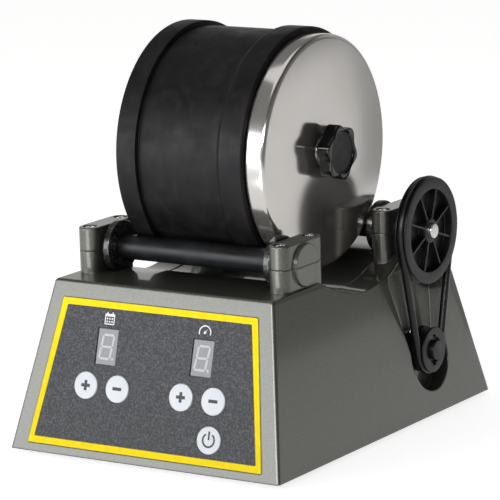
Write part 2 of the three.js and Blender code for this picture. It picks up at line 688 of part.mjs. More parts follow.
function steelLid() {
  const { backX, faceX, radius, edge, sheet, hole } = LID;
  const arc = (r, steps) => Array.from({ length: steps + 1 }, (_, i) => {
    const angle = Math.PI / 2 * i / steps;
    return [faceX - edge + r * Math.sin(angle), radius - edge + r * Math.cos(angle)];
  });
  return turnedOnX([
    [backX, radius - sheet], [backX, radius], ...arc(edge, 4), [faceX, hole], [faceX - sheet, hole],
    ...arc(edge - sheet, 2).reverse(), [backX, radius - sheet],
  ], ROUND.barrel);
}

function lidStud() {
  const { radius, headX, headRadius, headThick, headEdge, tipX, tipEdge } = STUD;
  const headEnd = headX + headThick;
  return turnedOnX([
    [headX, 0], [headX, headRadius - headEdge], [headX + headEdge, headRadius], [headEnd, headRadius],
    [headEnd, radius], [tipX - tipEdge, radius], [tipX, radius - tipEdge], [tipX, 0],
  ], ROUND.small);
}

function knobOutline() {
  const shape = new THREE.Shape();
  const steps = KNOB.lobes * 9;
  const inset = KNOB.bevel;
  for (let i = 0; i < steps; i++) {
    const angle = i * Math.PI * 2 / steps;
    const radius = KNOB.radius - inset + KNOB.lobe * Math.cos(KNOB.lobes * angle);
    const [x, y] = [radius * Math.cos(angle), radius * Math.sin(angle)];
    if (i === 0) shape.moveTo(x, y);
    else shape.lineTo(x, y);
  }
  shape.closePath();
  return shape;
}

function knob() {
  const { backX, frontX, bevel, neckRadius, neckLength, bore, boreDepth, insertRadius, insertDepth } = KNOB;
  const headBack = backX + neckLength;
  const star = new THREE.ExtrudeGeometry(knobOutline(), {
    depth: frontX - headBack - 2 * bevel, bevelThickness: bevel, bevelSize: bevel, bevelSegments: 1,
  });
  star.rotateZ(Math.PI / 2).rotateY(Math.PI / 2).rotateX(THREE.MathUtils.degToRad(KNOB.lobePhase));
  star.translate(headBack + bevel, 0, 0);
  const neck = cylinderX(backX, headBack + 1, neckRadius, 0, 0, ROUND.medium);
  const hole = cylinderX(backX - 1, backX + boreDepth, bore, 0, 0, ROUND.small);
  const dish = cylinderX(frontX - insertDepth, frontX + 1, insertRadius + GAP, 0, 0, ROUND.medium);
  return geometryOf(without(union(solid(star), solid(neck)), solid(hole), solid(dish)));
}

// ---- Panel pieces ----
function panelSheet(outline, cutters) {
  const options = { depth: PANEL.thick, bevelEnabled: false, curveSegments: 5 };
  const lift = PANEL.seam - PANEL.pocket;
  const sheet = solid(new THREE.ExtrudeGeometry(outline, options).translate(0, 0, lift));
  return geometryOf(without(sheet, ...cutters));
}

function panelField() {
  const outline = panelShape(PANEL.innerTop, PANEL.innerBottom, -GAP / 2);
  const cutters = [-1, 1].map((side) => {
    const window = new THREE.BoxGeometry(DISPLAY.wide + 0.3, DISPLAY.tall + 0.3, PANEL.cut);
    return solid(window.translate(side * DISPLAY.x, -DISPLAY.down, 0));
  });
  for (const { x, down } of Object.values(buttonPlaces())) {
    cutters.push(solid(cylinderZ(-PANEL.cut, PANEL.cut, BUTTON.radius + 0.25, x, -down, ROUND.medium)));
  }
  return panelSheet(outline, cutters);
}

function panelBorder() {
  const outline = panelShape(PANEL.outerTop, PANEL.outerBottom, 0);
  outline.holes.push(panelShape(PANEL.innerTop, PANEL.innerBottom, 0));
  return panelSheet(outline, []);
}

function displayModule() {
  const { wide, tall, deep, sunk } = DISPLAY;
  return new THREE.BoxGeometry(wide, tall, deep).translate(0, 0, -deep / 2 - sunk);
}

function buttonCap() {
  const { radius, proud, stemRadius } = BUTTON;
  const stemEnd = -BOARD.behind + 1.8;
  const points = [
    [0, stemEnd], [stemRadius, stemEnd], [stemRadius, -2.2], [radius, -2.2], [radius, proud - 0.5],
    [radius - 0.5, proud], [0, proud],
  ].map(([r, z]) => new THREE.Vector2(r, z));
  return new THREE.LatheGeometry(points, ROUND.medium).rotateX(Math.PI / 2);
}

function controlBoard() {
  const { wide, tall, thick, behind } = BOARD;
  return new THREE.BoxGeometry(wide, tall, thick).translate(0, 0, -behind - thick / 2);
}

// ---- Underside and inlet ----
function bottomPlate() {
  const edge = taperedSection(BASE.standZ, PLATE.inset);
  let plate = solid(block(-edge.x, edge.x, edge.front, edge.back, PLATE.z, PLATE.z + PLATE.thick));
  for (const x of [-PLATE.bossX, PLATE.bossX]) {
    for (const y of [-PLATE.bossY, PLATE.bossY]) {
      const hole = cylinderZ(0, PLATE.holeTopZ, PLATE_SCREW.shankRadius + GAP, x, y, ROUND.fine);
      plate = plate.subtract(solid(hole));
    }
  }
  for (let i = 0; i < PLATE.slots; i++) {
    const y = MOTOR_PULLEY.y + (i - (PLATE.slots - 1) / 2) * PLATE.slotStep;
    const half = PLATE.slotWide / 2;
    const slotEndX = PLATE.slotX + PLATE.slotLong;
    plate = plate.subtract(solid(block(PLATE.slotX, slotEndX, y - half, y + half, 0, PLATE.holeTopZ)));
  }
  return geometryOf(plate);
}

function rubberFoot() {
  const { radius, height, edge, taper } = FOOT;
  const points = [[0, 0], [radius - edge, 0], [radius, edge], [radius - taper, height], [0, height]];
  const turned = new THREE.LatheGeometry(points.map(([r, z]) => new THREE.Vector2(r, z)), ROUND.small);
  return turned.rotateX(Math.PI / 2);
}

function powerJack() {
  const { radius, bore, pin, deep, boxWide, boxTall, sunk, collarLong, wellDeep } = JACK;
  const collar = cylinderZ(-sunk - collarLong, -sunk, radius, 0, 0, ROUND.small);
  const body = block(-boxWide / 2, boxWide / 2, -boxTall / 2, boxTall / 2, -deep, 0.2 - sunk - collarLong);
  const well = cylinderZ(-wellDeep, 1, bore, 0, 0, ROUND.small);
  const post = cylinderZ(-wellDeep - 0.5, -sunk - 1, pin, 0, 0, ROUND.fine);
  return geometryOf(union(without(union(solid(collar), solid(body)), solid(well)), solid(post)));
}

// ---- Assembly ----
const COLOUR = {
  paint: { color: 0x6f6e66, roughness: 0.32, metalness: 0.6 },
  rubber: { color: 0x1d1e20, roughness: 0.75, metalness: 0 },
  sleeve: { color: 0x202228, roughness: 0.6, metalness: 0 },
  belt: { color: 0x141416, roughness: 0.45, metalness: 0 },
  plastic: { color: 0x26272b, roughness: 0.35, metalness: 0 },
  flange: { color: 0x0c0d0e, roughness: 0.2, metalness: 0 },
  knob: { color: 0x08090a, roughness: 0.15, metalness: 0 },
  steel: { color: 0xb9b6b1, roughness: 0.28, metalness: 1 },
  shaft: { color: 0xa9a49c, roughness: 0.3, metalness: 1 },
  screw: { color: 0xb4b3ae, roughness: 0.25, metalness: 1 },
  bronze: { color: 0x9a7a4a, roughness: 0.5, metalness: 0.9 },
  panel: { color: 0x3b3d42, roughness: 0.55, metalness: 0 },
  border: { color: 0xf5e400, roughness: 0.45, metalness: 0 },
  display: { color: 0xa3a7a5, roughness: 0.3, metalness: 0 },
  button: { color: 0xf2f2ee, roughness: 0.4, metalness: 0 },
  board: { color: 0x1f5a33, roughness: 0.5, metalness: 0 },
  motor: { color: 0x9d9fa1, roughness: 0.35, metalness: 0.9 },
  plate: { color: 0x1a1a1b, roughness: 0.6, metalness: 0 },
};

const tumbler = new THREE.Group();

function place(name, geometry, finish, position = [0, 0, 0], parent = tumbler) {
  const material = new THREE.MeshStandardMaterial(COLOUR[finish]);
  material.name = finish;
  const mesh = new THREE.Mesh(welded(geometry), material);
  mesh.name = name;
  mesh.position.set(...position);
  parent.add(mesh);
  return mesh;
}

function addBase() {
  place('base_housing', geometryOf(baseHousing()), 'paint');
  place('bottom_plate', bottomPlate(), 'plate');
  for (const [sideName, side] of [['left', -1], ['right', 1]]) {
    for (const [endName, end] of [['front', -1], ['rear', 1]]) {
      place(`foot_${endName}_${sideName}`, rubberFoot(), 'rubber', [side * FOOT.x, end * FOOT.y, 0]);
      const screw = place(`plate_screw_${endName}_${sideName}`, screwBlank(PLATE_SCREW), 'screw',
        [side * PLATE.bossX, end * PLATE.bossY, PLATE.z - GAP]);
      screw.rotation.x = Math.PI;
    }
  }
}

function addPanel() {
  const face = new THREE.Group();
  face.applyMatrix4(frontFrame);
  tumbler.add(face);
  place('control_panel', panelField(), 'panel', [0, 0, 0], face);
  place('panel_border', panelBorder(), 'border', [0, 0, 0], face);
  place('days_display', displayModule(), 'display', [-DISPLAY.x, -DISPLAY.down, 0], face);
  place('speed_display', displayModule(), 'display', [DISPLAY.x, -DISPLAY.down, 0], face);
  for (const [name, { x, down }] of Object.entries(buttonPlaces())) {
    place(`${name}_button`, buttonCap(), 'button', [x, -down, 0], face);
  }
  place('control_board', controlBoard(), 'board', [0, -BOARD.middleDown, 0], face);
}

function addBearings() {
  forEachPost(({ name, side, y, through }) => {
    place(`${name}_bearing_cap`, bearingCap(side, y, through), 'paint');
    place(`${name}_bushing`, bushing(side), 'bronze', [0, y, ROLLER.axisZ]);
    const headZ = POST.topZ - CAP_SCREW.headHeight - CAP_SCREW.sunk + GAP;
    for (const [endName, end] of [['a', -1], ['b', 1]]) {
      place(`${name}_cap_screw_${endName}`, crossHeadScrew(CAP_SCREW), 'screw',
        [side * POST.centreX, y + end * POST.screwY, headZ]);
    }
  });
}

function addRollers() {
  for (const [name, y] of Object.entries(ROLLER_Y)) {
    const at = [0, y, ROLLER.axisZ];
    const end = name === 'rear' ? REAR_SHAFT_END_X : ROLLER.shaftHalf;
    const shaft = rodProfile(-ROLLER.shaftHalf, end, ROLLER.shaftRadius, ROLLER.shaftEdge);
    place(`${name}_shaft`, turnedOnX(shaft, ROUND.small), 'shaft', at);
    const { sleeveHalf, boreRadius, radius, sleeveEdge } = ROLLER;
    const sleeve = ringProfile(-sleeveHalf, sleeveHalf, boreRadius, radius, sleeveEdge);
    place(`${name}_roller_sleeve`, turnedOnX(sleeve, ROUND.medium), 'sleeve', at);
    place(`${name}_left_disc`, rollerDisc(-1), 'flange', at);
    place(`${name}_right_disc`, rollerDisc(1), 'flange', at);
  }
}

function addDrive() {
  const motorAt = [0, MOTOR_PULLEY.y, MOTOR_PULLEY.z];
  place('driven_pulley', drivenPulley(), 'plastic', [0, ROLLER_Y.rear, ROLLER.axisZ]);
  place('drive_belt', belt(), 'belt');
  place('motor_pulley', motorPulley(), 'plastic', motorAt);
  const shaft = rodProfile(GEARBOX.backX + 8.5, MOTOR_PULLEY.bossX - 1.6, MOTOR.shaftRadius, 0.3);
  place('motor_shaft', turnedOnX(shaft, ROUND.small), 'shaft', motorAt);
  place('gearbox', gearbox(), 'motor', motorAt);
  place('motor_can', motorCan(), 'motor', motorAt);
  for (const [endName, end] of [['lower', -1], ['upper', 1]]) {
    const z = MOTOR_PULLEY.z + end * GEARBOX.screwRadius;
    const seatX = pocketFloorX(z - GEARBOX_SCREW.headRadius) + GAP;
    place(`gearbox_screw_${endName}`, gearboxScrew(seatX), 'screw', [0, MOTOR_PULLEY.y, z]);
  }
}

function addInlet() {
  const back = new THREE.Group();
  back.applyMatrix4(backFrame);
  tumbler.add(back);
  place('power_jack', powerJack(), 'plate', [0, 0, 0], back);
}

function addBarrel() {
  const at = [0, AXIS.y, AXIS.z];
  place('barrel', barrelTub(), 'rubber', at);
  place('inner_lid', innerLid(), 'rubber', at);
  place('steel_lid', steelLid(), 'steel', at);
  place('lid_stud', lidStud(), 'shaft', at);
  const washerX = LID.faceX + GAP;
  const washer = ringProfile(washerX, washerX + WASHER.thick, WASHER.bore, WASHER.radius, WASHER.edge);
  place('knob_washer', turnedOnX(washer, ROUND.small), 'screw', at);
  place('lid_knob', knob(), 'knob', at);
  const { frontX, insertDepth, insertSunk, insertRadius } = KNOB;
  const insertBackX = frontX - insertDepth + GAP;
  const insert = cylinderX(insertBackX, frontX - insertSunk, insertRadius, 0, 0, ROUND.medium);
  place('knob_insert', insert, 'knob', at);
}

addBase();
addPanel();
addBearings();
addRollers();
addDrive();
addInlet();
addBarrel();

export default tumbler;
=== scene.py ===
import json
import math

import bmesh
import bpy
from mathutils import Matrix, Vector


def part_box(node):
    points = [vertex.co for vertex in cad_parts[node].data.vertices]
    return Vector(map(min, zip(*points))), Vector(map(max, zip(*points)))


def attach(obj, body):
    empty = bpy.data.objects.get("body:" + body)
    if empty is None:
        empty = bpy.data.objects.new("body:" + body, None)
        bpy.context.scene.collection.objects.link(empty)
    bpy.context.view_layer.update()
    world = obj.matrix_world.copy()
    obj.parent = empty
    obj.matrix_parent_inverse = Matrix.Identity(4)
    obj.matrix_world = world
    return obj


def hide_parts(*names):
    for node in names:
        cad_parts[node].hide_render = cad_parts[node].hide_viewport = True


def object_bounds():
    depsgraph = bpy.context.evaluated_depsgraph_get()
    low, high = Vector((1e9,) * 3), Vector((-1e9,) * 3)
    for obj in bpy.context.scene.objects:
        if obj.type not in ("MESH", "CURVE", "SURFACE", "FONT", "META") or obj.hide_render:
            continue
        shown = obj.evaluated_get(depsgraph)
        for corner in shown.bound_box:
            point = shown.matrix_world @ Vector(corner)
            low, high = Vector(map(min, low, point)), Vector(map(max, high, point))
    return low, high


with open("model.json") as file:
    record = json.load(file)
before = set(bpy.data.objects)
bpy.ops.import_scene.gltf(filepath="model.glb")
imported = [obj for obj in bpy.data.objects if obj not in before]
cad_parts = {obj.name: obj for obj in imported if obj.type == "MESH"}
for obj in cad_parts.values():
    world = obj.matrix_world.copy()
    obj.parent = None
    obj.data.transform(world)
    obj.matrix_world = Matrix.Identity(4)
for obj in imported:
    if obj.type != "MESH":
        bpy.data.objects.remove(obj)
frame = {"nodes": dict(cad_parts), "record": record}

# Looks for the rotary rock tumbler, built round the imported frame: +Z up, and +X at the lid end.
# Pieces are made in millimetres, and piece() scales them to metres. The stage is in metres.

CAD_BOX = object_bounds()
MM = 0.001

# ---- Places, in millimetres, read from the frame ----


def middle(node):
    low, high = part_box(node)
    return (low + high) / 2 / MM


def low_high(node):
    low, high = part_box(node)
    return low / MM, high / MM


BARREL_AT = middle("barrel")
ROLLERS = {"front": middle("front_roller_sleeve"), "rear": middle("rear_roller_sleeve")}
MOTOR_AT = middle("motor_pulley")
CAP_SPLIT_Z = low_high("front_left_bearing_cap")[0].z
CAP_TOP_Z = low_high("front_left_bearing_cap")[1].z

# ---- Driving sizes, in millimetres ----
# In a list of corners, each corner is (x, radius, fillet).
BARREL = {
    "closed": -41.8, "open": 35.3, "band": 64.2, "body": 61.7, "bore": 54, "mouth": 1, "floor": 6,
    "left_band_end": -29.4, "right_band_start": 21.6, "ramp": 2.2, "dish_deep": 1.2, "dish_rim": 7.5,
    "dish_slope": 1.5, "groove_deep": 0.5, "groove_wide": 0.9, "groove_slope": 0.2,
}
LID = {"back": 36, "face": 46.7, "radius": 61, "edge": 2.8, "sheet": 1, "hole": 4.5}
INNER_LID = {
    "plug": 25, "plug_radius": 53.2, "flange": 35.6, "flange_radius": 59.5, "front": 45.4, "bore": 4.3,
    "head_back": 29.3, "head_front": 32.9, "head_room": 9.3,
}
KNOB = {
    "back": 48.3, "head": 49.9, "front": 57.4, "radius": 13.9, "lobe": 1.2, "lobes": 6, "phase": -16,
    "neck": 9, "bore": 4.3, "wall": 2.4, "insert": 11, "sunk": 1, "bevel": 1.1, "gap": 0.1, "chamfer": 0.75,
}
BADGE = {"back": 0.4, "seat": 0.3, "rim": 0.25, "rim_wide": 0.5, "slope": 0.4}
ROLLER = {"sleeve": 6.5, "shaft": 4, "disc": 13.9, "disc_in": 47.25, "disc_out": 51.3, "bore": 4.1}
PULLEY = {
    "front": 80, "back": 73.5, "radius": 28.4, "belt": 27.1, "recess": 22.2, "deep": 4.4, "hub": 6.5,
    "hub_back": 67, "back_deep": 1.5, "draft": 0.2, "ribs": 8, "rib": 1.1, "rib_low": 0.6, "phase": -18.6,
}
MOTOR_PULLEY = {
    "front": 80, "back": 71.2, "radius": 12.3, "belt": 11.6, "bore": 2.1, "boss": 5.2, "boss_front": 82.2,
    "boss_wall": 1.2, "ring": 7.1, "ring_deep": 1.6, "notch": 3, "notch_end": 8.4,
}
BELT = {"radius": 2, "x": 76.75}
GROOVE = {"half": 2.25, "floor_half": 1.35, "deep": 2.4}
POST = {
    "x": 58.4, "thick": 11.6, "half": 19.8, "boss": 11.2, "boss_out": 1.7, "screw": 14, "bush": 6.35,
    "seat": 9.2, "shaft_hole": 4.5, "edge": 0.7,
}
SCREW = {
    "radius": 3.5, "height": 2.4, "side": 1.32, "crown": 2.17, "sunk": 0.35, "shank": 1.9, "length": 13,
    "slot": 0.9, "slot_half": 2, "slot_deep": 1.4, "slot_turn": 0.5, "head_gap": 0.3, "shank_gap": 0.15,
    "lift": 0.1,
}
PANEL_TOP = Vector((0, -86, 89.3))
PANEL_SLOPE = math.atan2(87.1, 24)
BUTTONS = {
    "days_plus": (-39, -53), "days_minus": (-19.5, -53), "speed_plus": (19.5, -53),
    "speed_minus": (39, -53), "power": (39, -72.6),
}
BUTTON = {"radius": 7.1, "proud": 0.9, "stem": 2.4, "stem_back": -7.8, "back": -2.2}
DISPLAYS = {"days": (-29.2, -32.2), "speed": (29.2, -32.2)}
DISPLAY = {"wide": 12.6, "tall": 19, "deep": 8, "sunk": 0.25, "edge": 0.25}
MARK_THICK = 0.05
MARK_SUNK = 0.01
SIGN = {"long": 5.4, "wide": 1.7}
POWER_SIGN = {"radius": 3.4, "wide": 1.0, "gap": math.radians(33), "bar": 1.05, "bar_long": 4.4, "bar_y": 2.3}
DIGIT = {
    "half": 3.3, "tall": 6.1, "thick": 1.15, "gap": 0.3, "slant": 0.14, "left": 0.3, "dot": 0.7, "dot_x": 5.0,
}
PICTOGRAM = {"y": -17.9, "lift": 0.19}
CALENDAR = {
    "wide": 6, "line": 0.5, "head": 1.3, "head_y": 2.0, "foot_y": -2.6, "side": 4.2, "side_y": -0.65,
    "tab": 0.6, "tab_tall": 1.0, "tab_x": 1.6, "tab_y": 3.1, "day": 0.8, "day_x": 1.5,
    "day_rows": (0.2, -1.3),
}
GAUGE = {
    "y": -1.2, "radius": 3.4, "line": 0.6, "start": math.radians(-20), "end": math.radians(200), "hub": 0.75,
    "needle": math.radians(52), "needle_long": 2.5, "needle_half": 0.3,
}

# How far a cutting tool stands past what it cuts, or reaches where nothing is in its way.
CLEAR = 1
FAR = 40

PANEL_FRAME = Matrix.Translation(PANEL_TOP) @ Matrix.Rotation(PANEL_SLOPE, 4, "X")


# ---- Mesh helpers, in millimetres ----
def rounded(corners, closed=False, steps=4):
    """The line through (x, r, fillet) corners, with each corner rounded by its fillet."""
    line = []
    count = len(corners)
    for i, (x, r, fillet) in enumerate(corners):
        here = Vector((x, r))
        inner = closed or 0 < i < count - 1
        if not fillet or not inner:
            line.append(here)
            continue
        before = Vector(corners[i - 1][:2]) - here
        after = Vector(corners[(i + 1) % count][:2]) - here
        half = before.angle(after) / 2
        reach = min(fillet / math.tan(half), before.length * 0.49, after.length * 0.49)
        start = here + before.normalized() * reach
        end = here + after.normalized() * reach
        for k in range(steps + 1):
            t = k / steps
            line.append(start * (1 - t) ** 2 + here * 2 * t * (1 - t) + end * t ** 2)
    return line


def ring(bm, x, radius, segments):
    if radius < 1e-6:
        return [bm.verts.new((x, 0, 0))]
    turns = [math.tau / segments * i for i in range(segments)]
    return [bm.verts.new((x, radius * math.cos(turn), radius * math.sin(turn))) for turn in turns]


def bridge(bm, a, b):
    """Faces between two rings, either of which may be a single point."""
    count = max(len(a), len(b))
    for i in range(count):
        j = (i + 1) % count
        quad = [a[i % len(a)], a[j % len(a)], b[j % len(b)], b[i % len(b)]]
        corners = list(dict.fromkeys(quad))
        if len(corners) > 2:
            bm.faces.new(corners)


def turned(corners, segments=96, closed=False, steps=4):
    """A solid turned about the X axis."""
    bm = bmesh.new()
    rings = [ring(bm, p.x, p.y, segments) for p in rounded(corners, closed, steps)]
    for a, b in zip(rings, rings[1:]):
        bridge(bm, a, b)
    if closed:
        bridge(bm, rings[-1], rings[0])
    return bm


def rod(x0, x1, radius, segments, fillet=0):
    """A plain round bar along X, with a fillet at its x1 end."""
    return turned([(x0, 0, 0), (x0, radius, 0), (x1, radius, fillet), (x1, 0, 0)], segments)


def tube(x0, x1, bore, radius, segments, fillet):
    """A bored bar along X, with rounded outer edges."""
    corners = [(x0, bore, 0.1), (x0, radius, fillet), (x1, radius, fillet), (x1, bore, 0.1)]
    return turned(corners, segments, closed=True)


def prism(outline, z0, z1, bevel=0.0, steps=3):
    """A plain extrusion of a closed convex outline of (x, y) points, with a rounded top edge."""
    bm = bmesh.new()
    centre = sum((Vector(p) for p in outline), Vector((0, 0))) / len(outline)
    levels = [(z0, 0.0), (z1, 0.0)]
    if bevel:
        turns = [math.pi / 2 * k / steps for k in range(steps + 1)]
        levels[1:] = [(z1 - bevel + bevel * math.sin(turn), bevel * (1 - math.cos(turn))) for turn in turns]
    rows = []
    for z, inset in levels:
        row = []
        for p in outline:
            out = Vector(p) - centre
            point = Vector(p) - out.normalized() * inset
            row.append(bm.verts.new((point.x, point.y, z)))
        rows.append(row)
    for a, b in zip(rows, rows[1:]):
        bridge(bm, a, b)
    bm.faces.new(rows[0][::-1])
    bm.faces.new(rows[-1])
    return bm


def stadium(half, radius, steps=16):
    """The outline of a slot shape that reaches half each way along Y."""
    outline = []
    for end, start in ((1, 0), (-1, math.pi)):
        for i in range(steps + 1):
            turn = start + math.pi * i / steps
            outline.append((radius * math.cos(turn), end * (half - radius) + radius * math.sin(turn)))
    return outline


def circle(radius, steps, x=0.0, y=0.0):
    turns = [math.tau * i / steps for i in range(steps)]
    return [(x + radius * math.cos(turn), y + radius * math.sin(turn)) for turn in turns]


def box(x0, x1, y0, y1, z0, z1):
    bm = bmesh.new()
    bmesh.ops.create_cube(bm, size=1)
    bmesh.ops.scale(bm, vec=(x1 - x0, y1 - y0, z1 - z0), verts=bm.verts)
    bmesh.ops.translate(bm, vec=((x0 + x1) / 2, (y0 + y1) / 2, (z0 + z1) / 2), verts=bm.verts)
    return bm


def moved(bm, matrix):
    bmesh.ops.transform(bm, matrix=matrix, verts=bm.verts)
    return bm


def shifted(bm, x=0.0, y=0.0, z=0.0):
    return moved(bm, Matrix.Translation((x, y, z)))


def outward(bm, side):
    """A part made for the right-hand end, mirrored if it is for the left."""
    return moved(bm, Matrix.Diagonal((-1, 1, 1, 1))) if side == "left" else bm


def upright(bm):
    """Turns a part made along X to stand along Z."""
    return moved(bm, Matrix.Rotation(-math.pi / 2, 4, "Y"))


def mesh_of(bm, name, merge=1e-4):
    bmesh.ops.remove_doubles(bm, verts=bm.verts, dist=merge)
    bmesh.ops.recalc_face_normals(bm, faces=bm.faces)
    mesh = bpy.data.meshes.new(name)
    bm.to_mesh(mesh)
    bm.free()
    return mesh


def combined(whole, changes):
    """whole joined with or cut by each (operation, bmesh) change in turn."""
    target = bpy.data.objects.new("combined", mesh_of(whole, "combined"))
    bpy.context.scene.collection.objects.link(target)
    for operation, tool_bm in changes:
        tool = bpy.data.objects.new("tool", mesh_of(tool_bm, "tool"))
        bpy.context.scene.collection.objects.link(tool)
        change = target.modifiers.new("change", "BOOLEAN")
        change.operation = operation
        change.solver = "EXACT"
        change.object = tool
        graph = bpy.context.evaluated_depsgraph_get()
        result = bpy.data.meshes.new_from_object(target.evaluated_get(graph))
        target.modifiers.remove(change)
        target.data = result
        bpy.data.objects.remove(tool)
    bm = bmesh.new()
    bm.from_mesh(target.data)
    bpy.data.objects.remove(target)
    return bm


def piece(name, bm, body, look, replaces=(), sharp=32, weighted=False):
    """Puts a mesh made in millimetres into the scene as one piece of the object."""
    mesh = mesh_of(moved(bm, Matrix.Scale(MM, 4)), name, 1e-7)
    mesh.shade_smooth()
    mesh.set_sharp_from_angle(angle=math.radians(sharp))
    obj = bpy.data.objects.new(name, mesh)
    bpy.context.scene.collection.objects.link(obj)
    mesh.materials.append(look)
    if weighted:
        obj.modifiers.new("even_normals", "WEIGHTED_NORMAL").keep_sharp = True
    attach(obj, body)
    if replaces:
        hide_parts(*replaces)
    return obj


# ---- Material helpers ----
def put(socket, value):
    if isinstance(value, bpy.types.NodeSocket):
        socket.id_data.links.new(value, socket)
    else:
        socket.default_value = value


def node(tree, kind, inputs=None, **settings):
    made = tree.nodes.new(kind)
    for key, value in settings.items():
        setattr(made, key, value)
    for key, value in (inputs or {}).items():
        put(made.inputs[key], value)
    return made


def grey(value, warm=0.0):
    return (value * (1 + warm), value, value * (1 - warm), 1)


class Look:
    """One material with a Principled shader, rounded edges and a chain of bumps."""

    def __init__(self, name, base, roughness, metallic=0.0, **sockets):
        self.material = bpy.data.materials.new(name)
        self.material.use_nodes = True
        self.tree = self.material.node_tree
        self.tree.nodes.clear()
        self.shader = node(self.tree, "ShaderNodeBsdfPrincipled")
        output = node(self.tree, "ShaderNodeOutputMaterial")
        self.tree.links.new(self.shader.outputs[0], output.inputs["Surface"])
        self.place = node(self.tree, "ShaderNodeTexCoord").outputs["Object"]
        self.normal = None
        self.edge_normal = None
        put(self.shader.inputs["Base Color"], base)
        put(self.shader.inputs["Roughness"], roughness)
        put(self.shader.inputs["Metallic"], metallic)
        for key, value in sockets.items():
            put(self.shader.inputs[key.replace("_", " ")], value)

    def stretched(self, x, y, z):
        made = node(self.tree, "ShaderNodeMapping", {"Vector": self.place, "Scale": (x, y, z)})
        return made.outputs[0]

    def noise(self, size_mm, detail=3.0, rough=0.5, vector=None, distortion=0.0):
        made = node(self.tree, "ShaderNodeTexNoise", {
            "Vector": vector or self.place, "Scale": 1 / (size_mm * MM), "Detail": detail,
            "Roughness": rough, "Distortion": distortion,
        })
        return made.outputs["Fac"]

    def grains(self, size_mm):
        """Small cells, each with random red and green values."""
        inputs = {"Vector": self.place, "Scale": 1 / (size_mm * MM)}
        cells = node(self.tree, "ShaderNodeTexVoronoi", inputs).outputs["Color"]
        return node(self.tree, "ShaderNodeSeparateColor", {"Color": cells}).outputs

    def spread(self, fac, low, high, from_low=0.3, from_high=0.7):
        made = node(self.tree, "ShaderNodeMapRange", {
            "Value": fac, "From Min": from_low, "From Max": from_high, "To Min": low, "To Max": high,
        })
        return made.outputs[0]

    def blend(self, fac, a, b):
        made = node(self.tree, "ShaderNodeMix", data_type="RGBA")
        put(made.inputs[0], fac)
        put(made.inputs[6], a)
        put(made.inputs[7], b)
        return made.outputs[2]

    def times(self, a, b):
        made = node(self.tree, "ShaderNodeMath", operation="MULTIPLY")
        put(made.inputs[0], a)
        put(made.inputs[1], b)
        return made.outputs[0]

    def bump(self, height, depth_mm, strength=1.0):
        inputs = {"Height": height, "Distance": depth_mm * MM, "Strength": strength}
        if self.normal:
            inputs["Normal"] = self.normal
        self.normal = node(self.tree, "ShaderNodeBump", inputs).outputs[0]

    def soft_edges(self, radius_mm):
        made = node(self.tree, "ShaderNodeBevel", {"Radius": radius_mm * MM}, samples=6)
        self.edge_normal = made.outputs[0]
        self.normal = self.edge_normal

    def done(self, **linked):
        for key, value in linked.items():
            put(self.shader.inputs[key.replace("_", " ")], value)
        if self.normal:
            put(self.shader.inputs["Normal"], self.normal)
        if self.edge_normal:
            put(self.shader.inputs["Coat Normal"], self.edge_normal)
        return self.material


def around_axis(look, centre_mm, turns_scale, along_scale):
    """Coordinates that are stretched round an X axis through centre_mm, for marks left by turning."""
    offset = node(look.tree, "ShaderNodeVectorMath", operation="SUBTRACT")
    put(offset.inputs[0], look.place)
    put(offset.inputs[1], (0, centre_mm.y * MM, centre_mm.z * MM))
    parts = node(look.tree, "ShaderNodeSeparateXYZ", {"Vector": offset.outputs[0]})
    flat = node(look.tree, "ShaderNodeCombineXYZ", {"Y": parts.outputs["Y"], "Z": parts.outputs["Z"]})
    unit = node(look.tree, "ShaderNodeVectorMath", {"Vector": flat.outputs[0]}, operation="NORMALIZE")
    split = node(look.tree, "ShaderNodeSeparateXYZ", {"Vector": unit.outputs[0]})
    joined = node(look.tree, "ShaderNodeCombineXYZ", {
        "X": look.times(parts.outputs["X"], along_scale),
        "Y": look.times(split.outputs["Y"], turns_scale),
        "Z": look.times(split.outputs["Z"], turns_scale),
    })
    return joined.outputs[0]


# ---- Materials ----
def paint_look():
    """Dark pewter paint with a fine metal flake under a clear coat."""
    look = Look("pewter_paint", grey(0.09), 0.42, 0.72, Coat_Weight=0.75, Coat_Roughness=0.07)
    look.soft_edges(1.0)
    flake = look.grains(0.42)[0]
    cloud = look.noise(30, 2)
    dark, light = (0.056, 0.055, 0.046, 1), (0.104, 0.104, 0.088, 1)
    base = look.blend(look.spread(flake, 0, 1, 0.0, 1.0), dark, light)
    colour = look.blend(look.spread(cloud, 0, 0.2), base, (0.085, 0.084, 0.073, 1))
    look.bump(look.noise(0.4, 2), 0.008, 0.25)
    look.bump(look.noise(1.3, 1), 0.006, 0.2)
    return look.done(Base_Color=colour, Roughness=look.spread(flake, 0.36, 0.48, 0.0, 1.0))


def rubber_look(name, tone, haze_tone, rough, haze=1.0):
    """Black rubber with a paler haze in streaks."""
    look = Look(name, grey(tone), rough, Specular_IOR_Level=0.3)
    look.soft_edges(0.3)
    cloud = look.noise(24, 5, 0.6, distortion=0.7)
    streak = look.noise(9, 4, 0.6)
    fine = look.noise(0.5, 3, 0.6)
    dusty = look.times(look.spread(cloud, 0, haze, 0.42, 0.72), look.spread(streak, 0.35, 1.0, 0.3, 0.7))
    colour = look.blend(dusty, grey(tone), haze_tone)
    look.bump(fine, 0.02, 0.45)
    look.bump(look.noise(5, 2), 0.05, 0.35)
    return look.done(Base_Color=colour, Roughness=look.spread(cloud, rough - 0.1, rough + 0.12))


